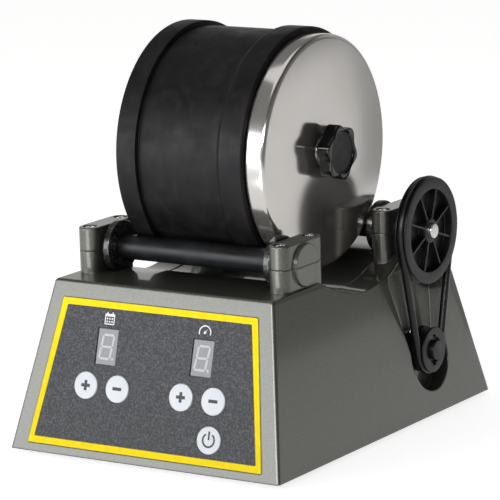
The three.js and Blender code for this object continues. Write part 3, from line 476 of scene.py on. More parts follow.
def barrel_look():
    """Black moulded rubber, handled: brownish dust in clouds and smears, and faint turning marks."""
    look = Look("barrel_rubber", grey(0.01), 0.5, Specular_IOR_Level=0.17)
    look.soft_edges(0.4)
    round_marks = look.noise(1, 3, 0.6, around_axis(look, BARREL_AT, 2.5, 900))
    cloud = look.noise(20, 5, 0.62, distortion=0.9)
    smear = look.noise(6, 4, 0.65, look.stretched(1, 1, 0.4), 0.5)
    dusty = look.times(look.spread(cloud, 0, 1, 0.38, 0.7), look.spread(smear, 0.1, 1.0, 0.35, 0.65))
    colour = look.blend(dusty, (0.0032, 0.0034, 0.0046, 1), (0.0185, 0.0146, 0.0128, 1))
    look.bump(look.noise(0.4, 3, 0.6), 0.02, 0.35)
    look.bump(look.noise(6, 3, 0.5), 0.12, 0.3)
    look.bump(round_marks, 0.01, 0.25)
    return look.done(Base_Color=colour, Roughness=look.spread(look.noise(11, 4, 0.6), 0.36, 0.6))


def lid_look():
    """Satin steel: a soft mirror with fine straight brushing and a few light scratches."""
    look = Look("brushed_lid", (0.6, 0.58, 0.56, 1), 0.13, 0.9)
    brushed = look.noise(1, 3, 0.6, look.stretched(300, 4000, 140))
    cloud = look.noise(30, 2, 0.4)
    scratch = look.noise(1, 1, 0.5, look.stretched(60, 2600, 30))
    colour = look.blend(look.spread(cloud, 0, 1), (0.53, 0.51, 0.485, 1), (0.57, 0.55, 0.53, 1))
    look.bump(brushed, 0.0012, 0.5)
    look.bump(look.spread(scratch, 0, 1, 0.68, 0.74), 0.002, 0.2)
    return look.done(Base_Color=colour, Roughness=look.spread(brushed, 0.1, 0.17))


def turned_steel_look(name, tone, rough, warm=0.03):
    """Bare metal with faint marks from turning."""
    look = Look(name, grey(tone, warm), rough, 1.0)
    look.soft_edges(0.15)
    look.bump(look.noise(1, 3, 0.6, look.stretched(3.5, 0.3, 0.3)), 0.006, 0.4)
    colour = look.blend(look.spread(look.noise(2.5, 4), 0, 1), grey(tone * 0.8, warm), grey(tone, warm))
    uneven = look.spread(look.noise(1.5, 3), rough - 0.08, rough + 0.1)
    return look.done(Base_Color=colour, Roughness=uneven)


def plastic_look(name, base, rough, texture_mm=0.0, coat=0.0, variation=0.25, spec=0.5):
    """Moulded plastic with a slightly uneven colour and gloss, and a texture if texture_mm is given."""
    look = Look(name, base, rough, Coat_Weight=coat, Coat_Roughness=0.08, Specular_IOR_Level=spec)
    look.soft_edges(0.25)
    darker = tuple(c * (1 - variation) for c in base[:3]) + (1,)
    colour = look.blend(look.spread(look.noise(8, 4, 0.6), 0, 1), darker, base)
    if texture_mm:
        look.bump(look.noise(texture_mm, 2), 0.02, 0.4)
    look.bump(look.noise(3, 2), 0.01, 0.2)
    uneven = look.spread(look.noise(5, 4, 0.6), rough - 0.07, rough + 0.09)
    return look.done(Base_Color=colour, Roughness=uneven)


def greasy_look():
    """Glossy black plastic with smears of grease."""
    look = Look("flange_plastic", grey(0.012), 0.2, Coat_Weight=0.4, Coat_Roughness=0.06)
    look.soft_edges(0.25)
    smear = look.noise(2.2, 5, 0.7, distortion=1.2)
    colour = look.blend(look.spread(smear, 0, 1, 0.5, 0.75), grey(0.01), grey(0.1))
    look.bump(smear, 0.05, 0.6)
    return look.done(Base_Color=colour, Roughness=look.spread(smear, 0.12, 0.4))


def panel_look():
    """Charcoal printed film with a strong fine light-and-dark speckle and a matt grain."""
    look = Look("panel_film", grey(0.05), 0.55, Specular_IOR_Level=0.3)
    cell = look.grains(0.72)[1]
    speck = look.times(cell, cell)
    soft = look.noise(0.8, 4, 0.7)
    dark, light = (0.003, 0.0033, 0.0055, 1), (0.104, 0.107, 0.12, 1)
    tone = look.blend(look.spread(speck, 0, 1, 0.0, 1.0), dark, light)
    colour = look.blend(look.spread(soft, 0, 0.2), tone, (0.028, 0.029, 0.034, 1))
    look.bump(look.noise(0.45, 2), 0.03, 0.6)
    return look.done(Base_Color=colour, Roughness=look.spread(speck, 0.45, 0.62, 0.0, 1.0))


def print_look(name, base, rough=0.45, spec=0.4):
    """Printed ink with slightly faded patches and a fine grain."""
    look = Look(name, base, rough, Specular_IOR_Level=spec)
    faded = tuple(c * 0.9 for c in base[:3]) + (1,)
    colour = look.blend(look.spread(look.noise(4, 4), 0, 1), faded, base)
    look.bump(look.noise(0.4, 2), 0.008, 0.4)
    uneven = look.spread(look.noise(1.2, 3), rough - 0.06, rough + 0.08)
    return look.done(Base_Color=colour, Roughness=uneven)


def make_looks():
    return {
        "paint": paint_look(),
        "barrel_rubber": barrel_look(),
        "sleeve_rubber": rubber_look("sleeve_rubber", 0.005, (0.02, 0.022, 0.03, 1), 0.36, 0.8),
        "belt_rubber": rubber_look("belt_rubber", 0.005, (0.015, 0.015, 0.018, 1), 0.26, 0.5),
        "foot_rubber": rubber_look("foot_rubber", 0.015, (0.03, 0.03, 0.03, 1), 0.7),
        "pulley_plastic": plastic_look(
            "pulley_plastic", (0.009, 0.0092, 0.011, 1), 0.36, texture_mm=0.5, spec=0.26,
        ),
        "flange_plastic": greasy_look(),
        "knob_plastic": plastic_look("knob_plastic", grey(0.004), 0.12, coat=0.3, spec=0.3),
        "badge_plastic": plastic_look("badge_plastic", grey(0.006), 0.3, spec=0.17),
        "lid_steel": lid_look(),
        "shaft_steel": turned_steel_look("shaft_steel", 0.62, 0.24),
        "screw_steel": turned_steel_look("screw_steel", 0.7, 0.2, 0.0),
        "bronze": turned_steel_look("bushing_metal", 0.3, 0.38, 0.05),
        "panel_film": panel_look(),
        "border_film": print_look("border_film", (0.91, 0.7, 0.0, 1), 0.5, 0.1),
        "display_epoxy": plastic_look(
            "display_epoxy", (0.118, 0.122, 0.137, 1), 0.28, coat=0.3, variation=0.1,
        ),
        "segment_white": print_look("segment_white", (0.45, 0.46, 0.49, 1), 0.3),
        "button_white": plastic_look("button_white", (0.6, 0.62, 0.665, 1), 0.35, variation=0.05),
        "print_dark": print_look("print_dark", grey(0.01)),
        "print_white": print_look("print_white", grey(0.85)),
        "board": plastic_look("board_mask", (0.01, 0.07, 0.025, 1), 0.35),
        "motor_steel": turned_steel_look("motor_steel", 0.42, 0.34, 0.0),
        "plate_plastic": plastic_look("plate_plastic", grey(0.015), 0.6, texture_mm=0.6),
    }


LOOKS = make_looks()


# ---- CAD nodes that stay ----
WELD = 2e-6


def smooth_by_angle(limit_deg):
    """A modifier's node group that smooths every edge flatter than limit_deg."""
    group = bpy.data.node_groups.new("smooth_by_angle", "GeometryNodeTree")
    group.interface.new_socket("Geometry", in_out="INPUT", socket_type="NodeSocketGeometry")
    group.interface.new_socket("Geometry", in_out="OUTPUT", socket_type="NodeSocketGeometry")
    start = group.nodes.new("NodeGroupInput")
    end = group.nodes.new("NodeGroupOutput")
    weld = group.nodes.new("GeometryNodeMergeByDistance")
    weld.inputs["Distance"].default_value = WELD
    angle = group.nodes.new("GeometryNodeInputMeshEdgeAngle")
    flat = group.nodes.new("FunctionNodeCompare")
    flat.operation = "LESS_EQUAL"
    flat.inputs[1].default_value = math.radians(limit_deg)
    faces = group.nodes.new("GeometryNodeSetShadeSmooth")
    edges = group.nodes.new("GeometryNodeSetShadeSmooth")
    edges.domain = "EDGE"
    group.links.new(start.outputs[0], weld.inputs[0])
    group.links.new(weld.outputs[0], faces.inputs[0])
    group.links.new(faces.outputs[0], edges.inputs[0])
    group.links.new(angle.outputs["Unsigned Angle"], flat.inputs[0])
    group.links.new(flat.outputs[0], edges.inputs["Shade Smooth"])
    group.links.new(edges.outputs[0], end.inputs[0])
    return group


SMOOTH = smooth_by_angle(limit_deg=31)


def keep_cad_nodes():
    """Every CAD node gets its slot's material, and smooth shading that leaves its real edges sharp."""
    for part in frame["record"]["subparts"]:
        obj = frame["nodes"][part["node"]]
        obj.data.materials.clear()
        obj.data.materials.append(LOOKS[part["material_slot"]])
        obj.modifiers.new("smooth", "NODES").node_group = SMOOTH
        obj.modifiers.new("even_normals", "WEIGHTED_NORMAL").keep_sharp = True


# ---- Barrel, lids and knob ----
def on_barrel(bm):
    return shifted(bm, y=BARREL_AT.y, z=BARREL_AT.z)


def make_barrel():
    b = BARREL
    dish = b["closed"] + b["dish_deep"]
    rim = b["band"] - b["dish_rim"]
    groove_start = b["left_band_end"]
    groove_end = groove_start + b["groove_wide"]
    groove_floor = b["body"] - b["groove_deep"]
    floor = b["closed"] + b["floor"]
    corners = [
        (dish, 0, 0), (dish, rim - b["dish_slope"], 0.8), (b["closed"], rim, 0.8),
        (b["closed"], b["band"], 1.8), (groove_start, b["band"], 0.5), (groove_start, groove_floor, 0.2),
        (groove_end, groove_floor, 0.2), (groove_end + b["groove_slope"], b["body"], 0.3),
        (b["right_band_start"] - b["ramp"], b["body"], 2.5), (b["right_band_start"], b["band"], 1.6),
        (b["open"], b["band"], 1.5), (b["open"], b["bore"] + b["mouth"], 0.3),
        (b["open"] - b["mouth"], b["bore"], 0.3), (floor, b["bore"], 4), (floor, 0, 0),
    ]
    piece("barrel_moulded", on_barrel(turned(corners, 192, steps=6)), "barrel",
          LOOKS["barrel_rubber"], ["barrel"], sharp=50)


def make_inner_lid():
    """The rubber lid, moulded over the head of its stud."""
    i = INNER_LID
    corners = [
        (i["plug"], 0, 0), (i["plug"], i["plug_radius"], 2), (i["flange"], i["plug_radius"], 0.4),
        (i["flange"], i["flange_radius"], 0.5), (i["front"], i["flange_radius"], 2.4),
        (i["front"], i["bore"], 0.3), (i["head_front"], i["bore"], 0),
        (i["head_front"], i["head_room"], 0), (i["head_back"], i["head_room"], 0), (i["head_back"], 0, 0),
    ]
    piece("inner_lid_moulded", on_barrel(turned(corners, 128)), "barrel",
          LOOKS["barrel_rubber"], ["inner_lid"])


def make_steel_lid():
    lid = LID
    inside = lid["face"] - lid["sheet"]
    inner = lid["radius"] - lid["sheet"]
    corners = [
        (lid["back"], inner, 0.2), (lid["back"], lid["radius"], 0.3),
        (lid["face"], lid["radius"], lid["edge"]), (lid["face"], lid["hole"], 0.2),
        (inside, lid["hole"], 0.2), (inside, inner, lid["edge"] - lid["sheet"]),
    ]
    piece("lid_pressing", on_barrel(turned(corners, 192, closed=True, steps=10)), "barrel",
          LOOKS["lid_steel"], ["steel_lid"], sharp=50)


def star_ring(bm, x, inset, count):
    """A ring with the knob's lobes."""
    row = []
    for i in range(count):
        angle = math.tau * i / count
        wave = math.cos(KNOB["lobes"] * (angle - math.radians(KNOB["phase"])))
        radius = KNOB["radius"] - inset + KNOB["lobe"] * wave
        row.append(bm.verts.new((x, radius * math.cos(angle), radius * math.sin(angle))))
    return row


def knob_mesh():
    """The lobed head on its neck, with a blind bore behind and a round recess for the badge in front."""
    k = KNOB
    count = 216
    bm = bmesh.new()
    bevel = k["bevel"]
    bore_end = k["front"] - k["wall"]
    rings = [
        (bore_end, 0), (bore_end, k["bore"]), (k["back"], k["bore"]), (k["back"], k["neck"]),
        (k["head"], k["neck"]),
    ]
    rows = [ring(bm, x, radius, count) for x, radius in rings]
    steps = 5
    turns = [math.pi / 2 * t / steps for t in range(steps + 1)]
    for turn in reversed(turns):
        x = k["head"] + bevel - bevel * math.sin(turn)
        rows.append(star_ring(bm, x, bevel * (1 - math.cos(turn)), count))
    for turn in turns:
        x = k["front"] - bevel + bevel * math.sin(turn)
        rows.append(star_ring(bm, x, bevel * (1 - math.cos(turn)), count))
    rim = k["insert"] + k["gap"]
    floor = k["front"] - k["sunk"] - BADGE["seat"]
    rings = [
        (k["front"], rim + k["chamfer"]), (k["front"] - k["chamfer"], rim), (floor, rim), (floor, 0),
    ]
    rows += [ring(bm, x, radius, count) for x, radius in rings]
    for a, b in zip(rows, rows[1:]):
        bridge(bm, a, b)
    return bm


def make_knob():
    piece("knob_moulded", on_barrel(knob_mesh()), "knob", LOOKS["knob_plastic"],
          ["lid_knob"], sharp=42)
    face = KNOB["front"] - KNOB["sunk"]
    back = face - BADGE["back"]
    rim = face + BADGE["rim"]
    radius = KNOB["insert"]
    inner = radius - BADGE["rim_wide"]
    corners = [
        (back, 0, 0), (back, radius, 0.1), (rim, radius, 0.15), (rim, inner, 0.15),
        (face, inner - BADGE["slope"], 0.2), (face, 0, 0),
    ]
    piece("knob_badge", on_barrel(turned(corners, 128)), "knob", LOOKS["badge_plastic"],
          ["knob_insert"])


# ---- Rollers ----
def at_roller(bm, row):
    return shifted(bm, y=ROLLERS[row].y, z=ROLLERS[row].z)


def make_rollers():
    r = ROLLER
    half = low_high("front_roller_sleeve")[1].x
    for row in ROLLERS:
        body = f"{row}_roller"
        sleeve = tube(-half, half, r["bore"], r["sleeve"], 64, 0.5)
        piece(f"{row}_sleeve_ground", at_roller(sleeve, row), body,
              LOOKS["sleeve_rubber"], [f"{row}_roller_sleeve"])
        for side in ("left", "right"):
            disc = outward(tube(r["disc_in"], r["disc_out"], r["bore"], r["disc"], 96, 0.9), side)
            piece(f"{row}_{side}_flange", at_roller(disc, row), body,
                  LOOKS["flange_plastic"], [f"{row}_{side}_disc"])
        low, high = low_high(f"{row}_shaft")
        shaft = [(low.x, 0, 0), (low.x, r["shaft"], 0.5), (high.x, r["shaft"], 0.6), (high.x, 0, 0)]
        piece(f"{row}_shaft_ground", at_roller(turned(shaft, 48), row), body,
              LOOKS["shaft_steel"], [f"{row}_shaft"])


# ---- Drive ----
def groove(belt_radius, rim):
    """The corners of a pulley's belt groove, from back to front."""
    x, half, floor_half = BELT["x"], GROOVE["half"], GROOVE["floor_half"]
    floor = belt_radius - GROOVE["deep"]
    return [
        (x - half, rim, 0.3), (x - half, belt_radius, 0.8), (x - floor_half, floor, 0.4),
        (x + floor_half, floor, 0.4), (x + half, belt_radius, 0.8), (x + half, rim, 0.3),
    ]


def make_driven_pulley():
    """The large pulley: a hub, a dished web with ribs, and a grooved rim."""
    p = PULLEY
    bore = ROLLER["bore"]
    floor = p["front"] - p["deep"]
    web_back = p["back"] + p["back_deep"]
    hub_face = p["front"] - p["draft"]
    corners = [
        (p["hub_back"], bore, 0.1), (p["hub_back"], p["hub"], 0.4), (web_back, p["hub"] + 1, 0.6),
        (web_back, p["recess"], 0.6), (p["back"], p["recess"] + 1, 0.4), (p["back"], p["radius"], 0.5),
        *groove(p["belt"], p["radius"]),
        (p["front"], p["radius"], 0.7), (p["front"], p["recess"], 0.35),
        (floor, p["recess"] - p["draft"], 0.5), (floor, p["hub"] + p["draft"], 0.5),
        (hub_face, p["hub"], 0.5), (hub_face, bore, 0.2),
    ]
    rib_root, rib_top = floor - 0.4, p["front"] - p["rib_low"]
    ribs = []
    for i in range(p["ribs"]):
        rib = box(rib_root, rib_top, p["hub"] - 1, p["recess"] + 1, -p["rib"] / 2, p["rib"] / 2)
        turn = math.radians(p["phase"]) + math.tau * i / p["ribs"]
        ribs.append(("UNION", moved(rib, Matrix.Rotation(turn, 4, "X"))))
    wheel = combined(turned(corners, 128, closed=True), ribs)
    piece("driven_pulley_moulded", at_roller(wheel, "rear"), "rear_roller",
          LOOKS["pulley_plastic"], ["driven_pulley"])


def make_motor_pulley():
    """The small pulley, with a ring round its boss and a notch across the ring."""
    p = MOTOR_PULLEY
    ring_floor = p["front"] - p["ring_deep"]
    bore_end = p["boss_front"] - p["boss_wall"]
    corners = [
        (p["back"], p["bore"], 0.1), (p["back"], p["radius"], 0.5), *groove(p["belt"], p["radius"]),
        (p["front"], p["radius"], 0.6), (p["front"], p["ring"], 0.25), (ring_floor, p["ring"], 0.3),
        (ring_floor, p["boss"], 0.3), (p["boss_front"], p["boss"], 0.5), (p["boss_front"], 0, 0),
        (bore_end, 0, 0), (bore_end, p["bore"], 0.1),
    ]
    half, end = p["notch"] / 2, p["notch_end"]
    cut = box(ring_floor, p["front"] + 5 * CLEAR, -half, half, -end, end)
    beside_boss = 0.02
    boss = rod(p["front"] - FAR, p["front"] + FAR, p["boss"] + beside_boss, 96)
    notch = combined(cut, [("DIFFERENCE", boss)])
    wheel = combined(turned(corners, 96, closed=True), [("DIFFERENCE", notch)])
    piece("motor_pulley_moulded", shifted(wheel, y=MOTOR_AT.y, z=MOTOR_AT.z), "motor_drive",
          LOOKS["pulley_plastic"], ["motor_pulley"])


def belt_line():
    """Points and outward directions round the belt, from the big pulley's arc to the small one's."""
    top, low = ROLLERS["rear"].yz, MOTOR_AT.yz
    between = top - low
    lean = math.asin((PULLEY["belt"] - MOTOR_PULLEY["belt"]) / between.length)
    start = math.atan2(between.y, between.x) - math.pi / 2 - lean
    line = []
    for centre, radius, a0, a1, steps in (
        (top, PULLEY["belt"], start, start + math.pi + 2 * lean, 72),
        (low, MOTOR_PULLEY["belt"], start + math.pi + 2 * lean, start + math.tau, 40),
    ):
        for i in range(steps + 1):
            angle = a0 + (a1 - a0) * i / steps
            out = Vector((math.cos(angle), math.sin(angle)))
            line.append((centre + out * radius, out))
    return line


def make_belt():
    bm = bmesh.new()
    rows = []
    count = 20
    for point, out in belt_line():
        row = []
        for i in range(count):
            turn = math.tau * i / count
            along = BELT["x"] + BELT["radius"] * math.cos(turn)
            spot = point + out * BELT["radius"] * math.sin(turn)
            row.append(bm.verts.new((along, spot.x, spot.y)))
        rows.append(row)
    for a, b in zip(rows, rows[1:] + rows[:1]):
        bridge(bm, a, b)
    piece("belt_round", bm, "base", LOOKS["belt_rubber"], ["drive_belt"], sharp=60)


# ---- Bearing caps and screws ----
def make_cap(name, row, side):
    """The upper half of a post, bored for its bushing and screws. The rear right one lets the shaft out."""
    p = POST
    outer = p["x"] + p["thick"] / 2
    inner = p["x"] - p["thick"] / 2
    split = CAP_SPLIT_Z - ROLLERS[row].z
    top = CAP_TOP_Z - ROLLERS[row].z
    block = prism([(p["x"] + x, y) for x, y in stadium(p["half"], p["thick"] / 2)], split, top, p["edge"])
    boss = rod(outer - CLEAR, outer + p["boss_out"], p["boss"], 96, 0.5)
    tools = [
        box(p["x"] - FAR, p["x"] + FAR, -FAR, FAR, -FAR, split),
        rod(inner - CLEAR, inner + p["seat"], p["bush"], 48),
    ]
    if (row, side) == ("rear", "right"):
        tools.append(rod(inner, inner + FAR, p["shaft_hole"], 48))
    for end in (-1, 1):
        at = {"x": p["x"], "y": end * p["screw"]}
        sunk = top - SCREW["height"] - SCREW["sunk"]
        tools.append(prism(circle(SCREW["radius"] + SCREW["head_gap"], 40, **at), sunk, top + CLEAR))
        tools.append(prism(circle(SCREW["shank"] + SCREW["shank_gap"], 24, **at), split - CLEAR, top + CLEAR))
    bm = combined(block, [("UNION", boss)] + [("DIFFERENCE", tool) for tool in tools])
    piece(f"{name}_cap_cast", at_roller(outward(bm, side), row), "base", LOOKS["paint"],
          [f"{name}_bearing_cap"], weighted=True)


def screw_mesh():
    """A pan-head cross-recess screw standing on Z, its seat at z 0."""
    s = SCREW
    corners = [
        (-s["length"], 0, 0), (-s["length"], s["shank"], 0.3), (0, s["shank"], 0), (0, s["radius"], 0.2),
        (s["side"], s["radius"], 0.5), (s["height"], s["crown"], 1.2), (s["height"], 0, 0),
    ]
    low, high = s["height"] - s["slot_deep"], s["height"] + CLEAR
    cuts = []
    for turn in (s["slot_turn"], s["slot_turn"] + math.pi / 2):
        slot = box(-s["slot_half"], s["slot_half"], -s["slot"] / 2, s["slot"] / 2, low, high)
        cuts.append(("DIFFERENCE", moved(slot, Matrix.Rotation(turn, 4, "Z"))))
    return combined(upright(turned(corners, 40)), cuts)


def make_cap_screws(name, row, side):
    for end_name, end in (("a", -1), ("b", 1)):
        x = POST["x"] * (-1 if side == "left" else 1)
        z = CAP_TOP_Z - SCREW["height"] - SCREW["sunk"] + SCREW["lift"]
        bm = shifted(screw_mesh(), x, ROLLERS[row].y + end * POST["screw"], z)
        piece(f"{name}_screw_{end_name}", bm, "base", LOOKS["screw_steel"],
              [f"{name}_cap_screw_{end_name}"])


def make_bearings():
    for row in ROLLERS:
        for side in ("left", "right"):
            make_cap(f"{row}_{side}", row, side)
            make_cap_screws(f"{row}_{side}", row, side)


# ---- Panel ----
def on_panel(bm, x=0.0, y=0.0, z=0.0):
    return moved(bm, PANEL_FRAME @ Matrix.Translation((x, y, z)))


def bar(wide, tall, x=0.0, y=0.0):
    right, top = wide / 2, tall / 2
    return [(x - right, y - top), (x + right, y - top), (x + right, y + top), (x - right, y + top)]


def arc_band(radius, wide, start, end, y=0.0, steps=28):
    """The outline of a curved stroke round (0, y)."""
    angles = [start + (end - start) * i / steps for i in range(steps + 1)]
    outer, inner = radius + wide / 2, radius - wide / 2
    outline = [(outer * math.cos(angle), y + outer * math.sin(angle)) for angle in angles]
    return outline + [(inner * math.cos(angle), y + inner * math.sin(angle)) for angle in reversed(angles)]


def marks_mesh(outlines):
    """A thin slab for each outline, standing on z 0."""
    bm = bmesh.new()
    for outline in outlines:
        low = [bm.verts.new((x, y, 0)) for x, y in outline]
        high = [bm.verts.new((x, y, MARK_THICK)) for x, y in outline]
        bridge(bm, low, high)
        bm.faces.new(low[::-1])
        bm.faces.new(high)
    return bm


def button_marks(name):
    if name == "power":
        p = POWER_SIGN
        top = math.pi / 2
        arc = arc_band(p["radius"], p["wide"], top + p["gap"], top + math.tau - p["gap"])
        return [arc, bar(p["bar"], p["bar_long"], 0, p["bar_y"])]
    marks = [bar(SIGN["long"], SIGN["wide"])]
    if name.endswith("plus"):
        arm = (SIGN["long"] - SIGN["wide"]) / 2
        marks += [bar(SIGN["wide"], arm, 0, way * (SIGN["wide"] + arm) / 2) for way in (1, -1)]
    return marks


def make_buttons():
    b = BUTTON
    for name, (x, y) in BUTTONS.items():
        corners = [
            (b["stem_back"], 0, 0), (b["stem_back"], b["stem"], 0.3), (b["back"], b["stem"], 0.2),
            (b["back"], b["radius"], 0.2), (b["proud"], b["radius"], 0.55), (b["proud"], 0, 0),
        ]
        cap = on_panel(upright(turned(corners, 72)), x, y)
        piece(f"{name}_cap", cap, f"{name}_button", LOOKS["button_white"],
              [f"{name}_button"])
        marks = on_panel(marks_mesh(button_marks(name)), x, y, b["proud"] - MARK_SUNK)
        piece(f"{name}_mark", marks, f"{name}_button", LOOKS["print_dark"])


def segment(cx, cy, wide, tall, slant):
    """One bar of a digit, pointed at both ends."""
    u, v = wide / 2, tall / 2
    if wide > tall:
        points = [(-u, 0), (v - u, -v), (u - v, -v), (u, 0), (u - v, v), (v - u, v)]
    else:
        points = [(0, -v), (u, u - v), (u, v - u), (0, v), (-u, v - u), (-u, u - v)]
    return [(cx + x + slant * (cy + y), cy + y) for x, y in points]


def digit_outlines():
    d = DIGIT
    half, tall, thick, slant = d["half"], d["tall"], d["thick"], d["slant"]
    rows = [segment(0, y, 2 * half - d["gap"], thick, slant) for y in (-tall, 0, tall)]
    sides = [
        segment(x, y, thick, tall - d["gap"], slant) for x in (-half, half) for y in (-tall / 2, tall / 2)
    ]
    dot = circle(d["dot"], 16, d["dot_x"] - slant * tall, -tall)
    return rows + sides + [dot]


def make_displays():
    d = DISPLAY
    for name, (x, y) in DISPLAYS.items():
        right, top, face = d["wide"] / 2, d["tall"] / 2, -d["sunk"]
        module = box(-right, right, -top, top, face - d["deep"], face)
        bmesh.ops.bevel(module, geom=module.edges[:], offset=d["edge"], segments=2, affect="EDGES")
        piece(f"{name}_display_module", on_panel(module, x, y), "base",
              LOOKS["display_epoxy"], [f"{name}_display"], weighted=True)
        marks = on_panel(marks_mesh(digit_outlines()), x - DIGIT["left"], y, face - MARK_SUNK)
        piece(f"{name}_segments", marks, "base", LOOKS["segment_white"])


def calendar_outlines():
    c = CALENDAR
    edge = (c["wide"] - c["line"]) / 2
    marks = [bar(c["wide"], c["head"], 0, c["head_y"]), bar(c["wide"], c["line"], 0, c["foot_y"])]
    marks += [bar(c["line"], c["side"], x, c["side_y"]) for x in (-edge, edge)]
    marks += [bar(c["tab"], c["tab_tall"], x, c["tab_y"]) for x in (-c["tab_x"], c["tab_x"])]
    columns = (-c["day_x"], 0, c["day_x"])
    marks += [bar(c["day"], c["day"], x, y) for x in columns for y in c["day_rows"]]
    return marks


def gauge_outlines():
    g = GAUGE
    arc = arc_band(g["radius"], g["line"], g["start"], g["end"], g["y"])
    hub = circle(g["hub"], 20, 0, g["y"])
    along = (math.cos(g["needle"]), math.sin(g["needle"]))
    tip = (g["needle_long"] * along[0], g["needle_long"] * along[1] + g["y"])
    side = (g["needle_half"] * along[1], -g["needle_half"] * along[0])
    needle = [(-side[0], g["y"] - side[1]), (side[0], g["y"] + side[1]), tip]
    return [arc, hub, needle]


def make_pictograms():
    for name, outlines in (("days", calendar_outlines()), ("speed", gauge_outlines())):
        x = DISPLAYS[name][0]
        marks = on_panel(marks_mesh(outlines), x, PICTOGRAM["y"], PICTOGRAM["lift"])
        piece(f"{name}_pictogram", marks, "base", LOOKS["print_white"])


# ---- Stage ----
def absolute(tree, value):
    return node(tree, "ShaderNodeMath", {0: value}, operation="ABSOLUTE").outputs[0]


def ramp(tree, value, low_at, high_at, low, high):
    """A smooth change from low to high as value goes from low_at to high_at."""
    return node(tree, "ShaderNodeMapRange", {
        "Value": value, "From Min": low_at, "From Max": high_at, "To Min": low, "To Max": high,
    }, interpolation_type="SMOOTHSTEP").outputs[0]


def sheet(name, corners):
    """A flat four-cornered stage piece."""
    mesh = bpy.data.meshes.new(name)
    mesh.from_pydata(corners, [], [(0, 1, 2, 3)])
    obj = bpy.data.objects.new(name, mesh)
    bpy.context.scene.collection.objects.link(obj)
    return obj


def make_floor():
    """A pale floor that looks evenly bright. In its light on the object, a patch in front is brighter and
    the far right is dimmer."""
    reach = 4.0
    gap = 0.0002
    even_glow, patch_glow, far_share = 0.8, 6.0, 0.1
    floor = sheet("floor", [(-reach, -reach, 0), (reach, -reach, 0), (reach, reach, 0), (-reach, reach, 0)])
    floor.location.z = CAD_BOX[0].z - gap
    look = Look("floor", (0.6, 0.6, 0.6, 1), 0.8, Emission_Color=(1, 1, 1, 1), Emission_Strength=even_glow)
    place = node(look.tree, "ShaderNodeSeparateXYZ", {"Vector": look.place})
    across = ramp(look.tree, absolute(look.tree, place.outputs["X"]), low_at=0.08, high_at=0.2, low=1, high=0)
    along = ramp(look.tree, place.outputs["Y"], low_at=-0.42, high_at=-0.3, low=1, high=0)
    glow = look.spread(look.times(across, along), even_glow, patch_glow, 0, 1)
    dim = ramp(look.tree, place.outputs["X"], low_at=0.8, high_at=1.1, low=1, high=far_share)
    rays = node(look.tree, "ShaderNodeLightPath")
    seen = node(look.tree, "ShaderNodeMix")
    put(seen.inputs[0], rays.outputs["Is Camera Ray"])
    put(seen.inputs[2], look.times(glow, dim))
    put(seen.inputs[3], even_glow)
    floor.data.materials.append(look.done(Emission_Strength=seen.outputs[0]))


def make_world():
    """A pale studio: brighter round the horizon and on the left, and plain white where the camera looks."""
    world = bpy.data.worlds.new("studio")
    bpy.context.scene.world = world
    world.use_nodes = True
    tree = world.node_tree
    tree.nodes.clear()
    way = node(tree, "ShaderNodeTexCoord").outputs["Generated"]
    split = node(tree, "ShaderNodeSeparateXYZ", {"Vector": way})
    height = ramp(tree, split.outputs["Z"], low_at=0.22, high_at=0.55, low=0.8, high=0.22)
    side = ramp(tree, split.outputs["X"], low_at=-0.2, high_at=0.6, low=1.0, high=0.25)
    total = node(tree, "ShaderNodeMath", operation="MULTIPLY")
    put(total.inputs[0], height)
    put(total.inputs[1], side)
    warm_white = (1.0, 0.985, 0.96, 1)
    lit = node(tree, "ShaderNodeBackground", {"Color": warm_white, "Strength": total.outputs[0]})
    seen = node(tree, "ShaderNodeBackground", {"Color": (1, 1, 1, 1), "Strength": 1.0})
    rays = node(tree, "ShaderNodeLightPath")
    mix = node(tree, "ShaderNodeMixShader")
    put(mix.inputs[0], rays.outputs["Is Camera Ray"])
    put(mix.inputs[1], lit.outputs[0])
    put(mix.inputs[2], seen.outputs[0])
    output = node(tree, "ShaderNodeOutputWorld")
    tree.links.new(mix.outputs[0], output.inputs["Surface"])


LIGHTS_AIM_AT = Vector((0, 0, 0.1))


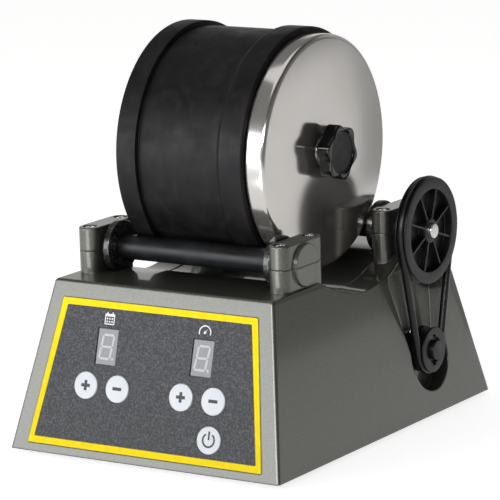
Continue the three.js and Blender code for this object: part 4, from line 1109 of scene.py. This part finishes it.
def soft_light(name, place, size, radiance, colour=(1, 1, 1)):
    """A rectangular softbox aimed at the object, whose face has the given brightness."""
    data = bpy.data.lights.new(name, "AREA")
    data.shape = "RECTANGLE"
    data.size, data.size_y = size
    data.color = colour
    data.energy = radiance * math.pi * size[0] * size[1]
    light = bpy.data.objects.new(name, data)
    light.location = place
    light.rotation_euler = (LIGHTS_AIM_AT - Vector(place)).to_track_quat("-Z", "Y").to_euler()
    bpy.context.scene.collection.objects.link(light)
    return light


def make_lights():
    soft_light("key", place=(-0.85, -1.25, 0.25), size=(1.2, 0.85), radiance=4.9, colour=(0.97, 1.0, 1.02))
    # The strip is there for the highlights on edges and posts only.
    strip = soft_light("strip", place=(0.78, -2.1, 0.95), size=(1.9, 0.5), radiance=15)
    strip.visible_diffuse = False
    soft_light("overhead", place=(-0.1, -0.1, 1.5), size=(1.2, 1.2), radiance=0.85)


def make_flag():
    """A grey card behind the lid end, off camera, that shades the far side of what the lid reflects."""
    near, far = (0.347, 0.555), (0.07, 0.72)
    low, high = 0.01, 0.6
    flag = sheet("flag", [(*near, low), (*far, low), (*far, high), (*near, high)])
    flag.data.materials.append(Look("flag", grey(0.42), 0.8).done())
    flag.visible_camera = False


def make_camera():
    """The photograph's angle, framing and slight roll."""
    azimuth, elevation, roll = (math.radians(a) for a in (32.62, 11.64, -1.62))
    target = Vector((-0.00096, 0, 0.09358))
    distance = 1.76464
    level = math.cos(elevation)
    back = Vector((math.sin(azimuth) * level, -math.cos(azimuth) * level, math.sin(elevation)))
    right = Vector((math.cos(azimuth), math.sin(azimuth), 0))
    up = back.cross(right)
    tilted_right = right * math.cos(roll) + up * math.sin(roll)
    tilted_up = up * math.cos(roll) - right * math.sin(roll)
    data = bpy.data.cameras.new("camera")
    data.lens = 239.86
    data.sensor_width = 36
    camera = bpy.data.objects.new("camera", data)
    turn = Matrix((tilted_right, tilted_up, back)).transposed().to_4x4()
    camera.matrix_world = Matrix.Translation(target + back * distance) @ turn
    bpy.context.scene.collection.objects.link(camera)
    bpy.context.scene.camera = camera


# ---- Build ----
bpy.context.scene.view_settings.view_transform = "Standard"
make_camera()
make_world()
make_lights()
make_floor()
make_flag()
keep_cad_nodes()
make_barrel()
make_inner_lid()
make_steel_lid()
make_knob()
make_rollers()
make_driven_pulley()
make_motor_pulley()
make_belt()
make_bearings()
make_buttons()
make_displays()
make_pictograms()
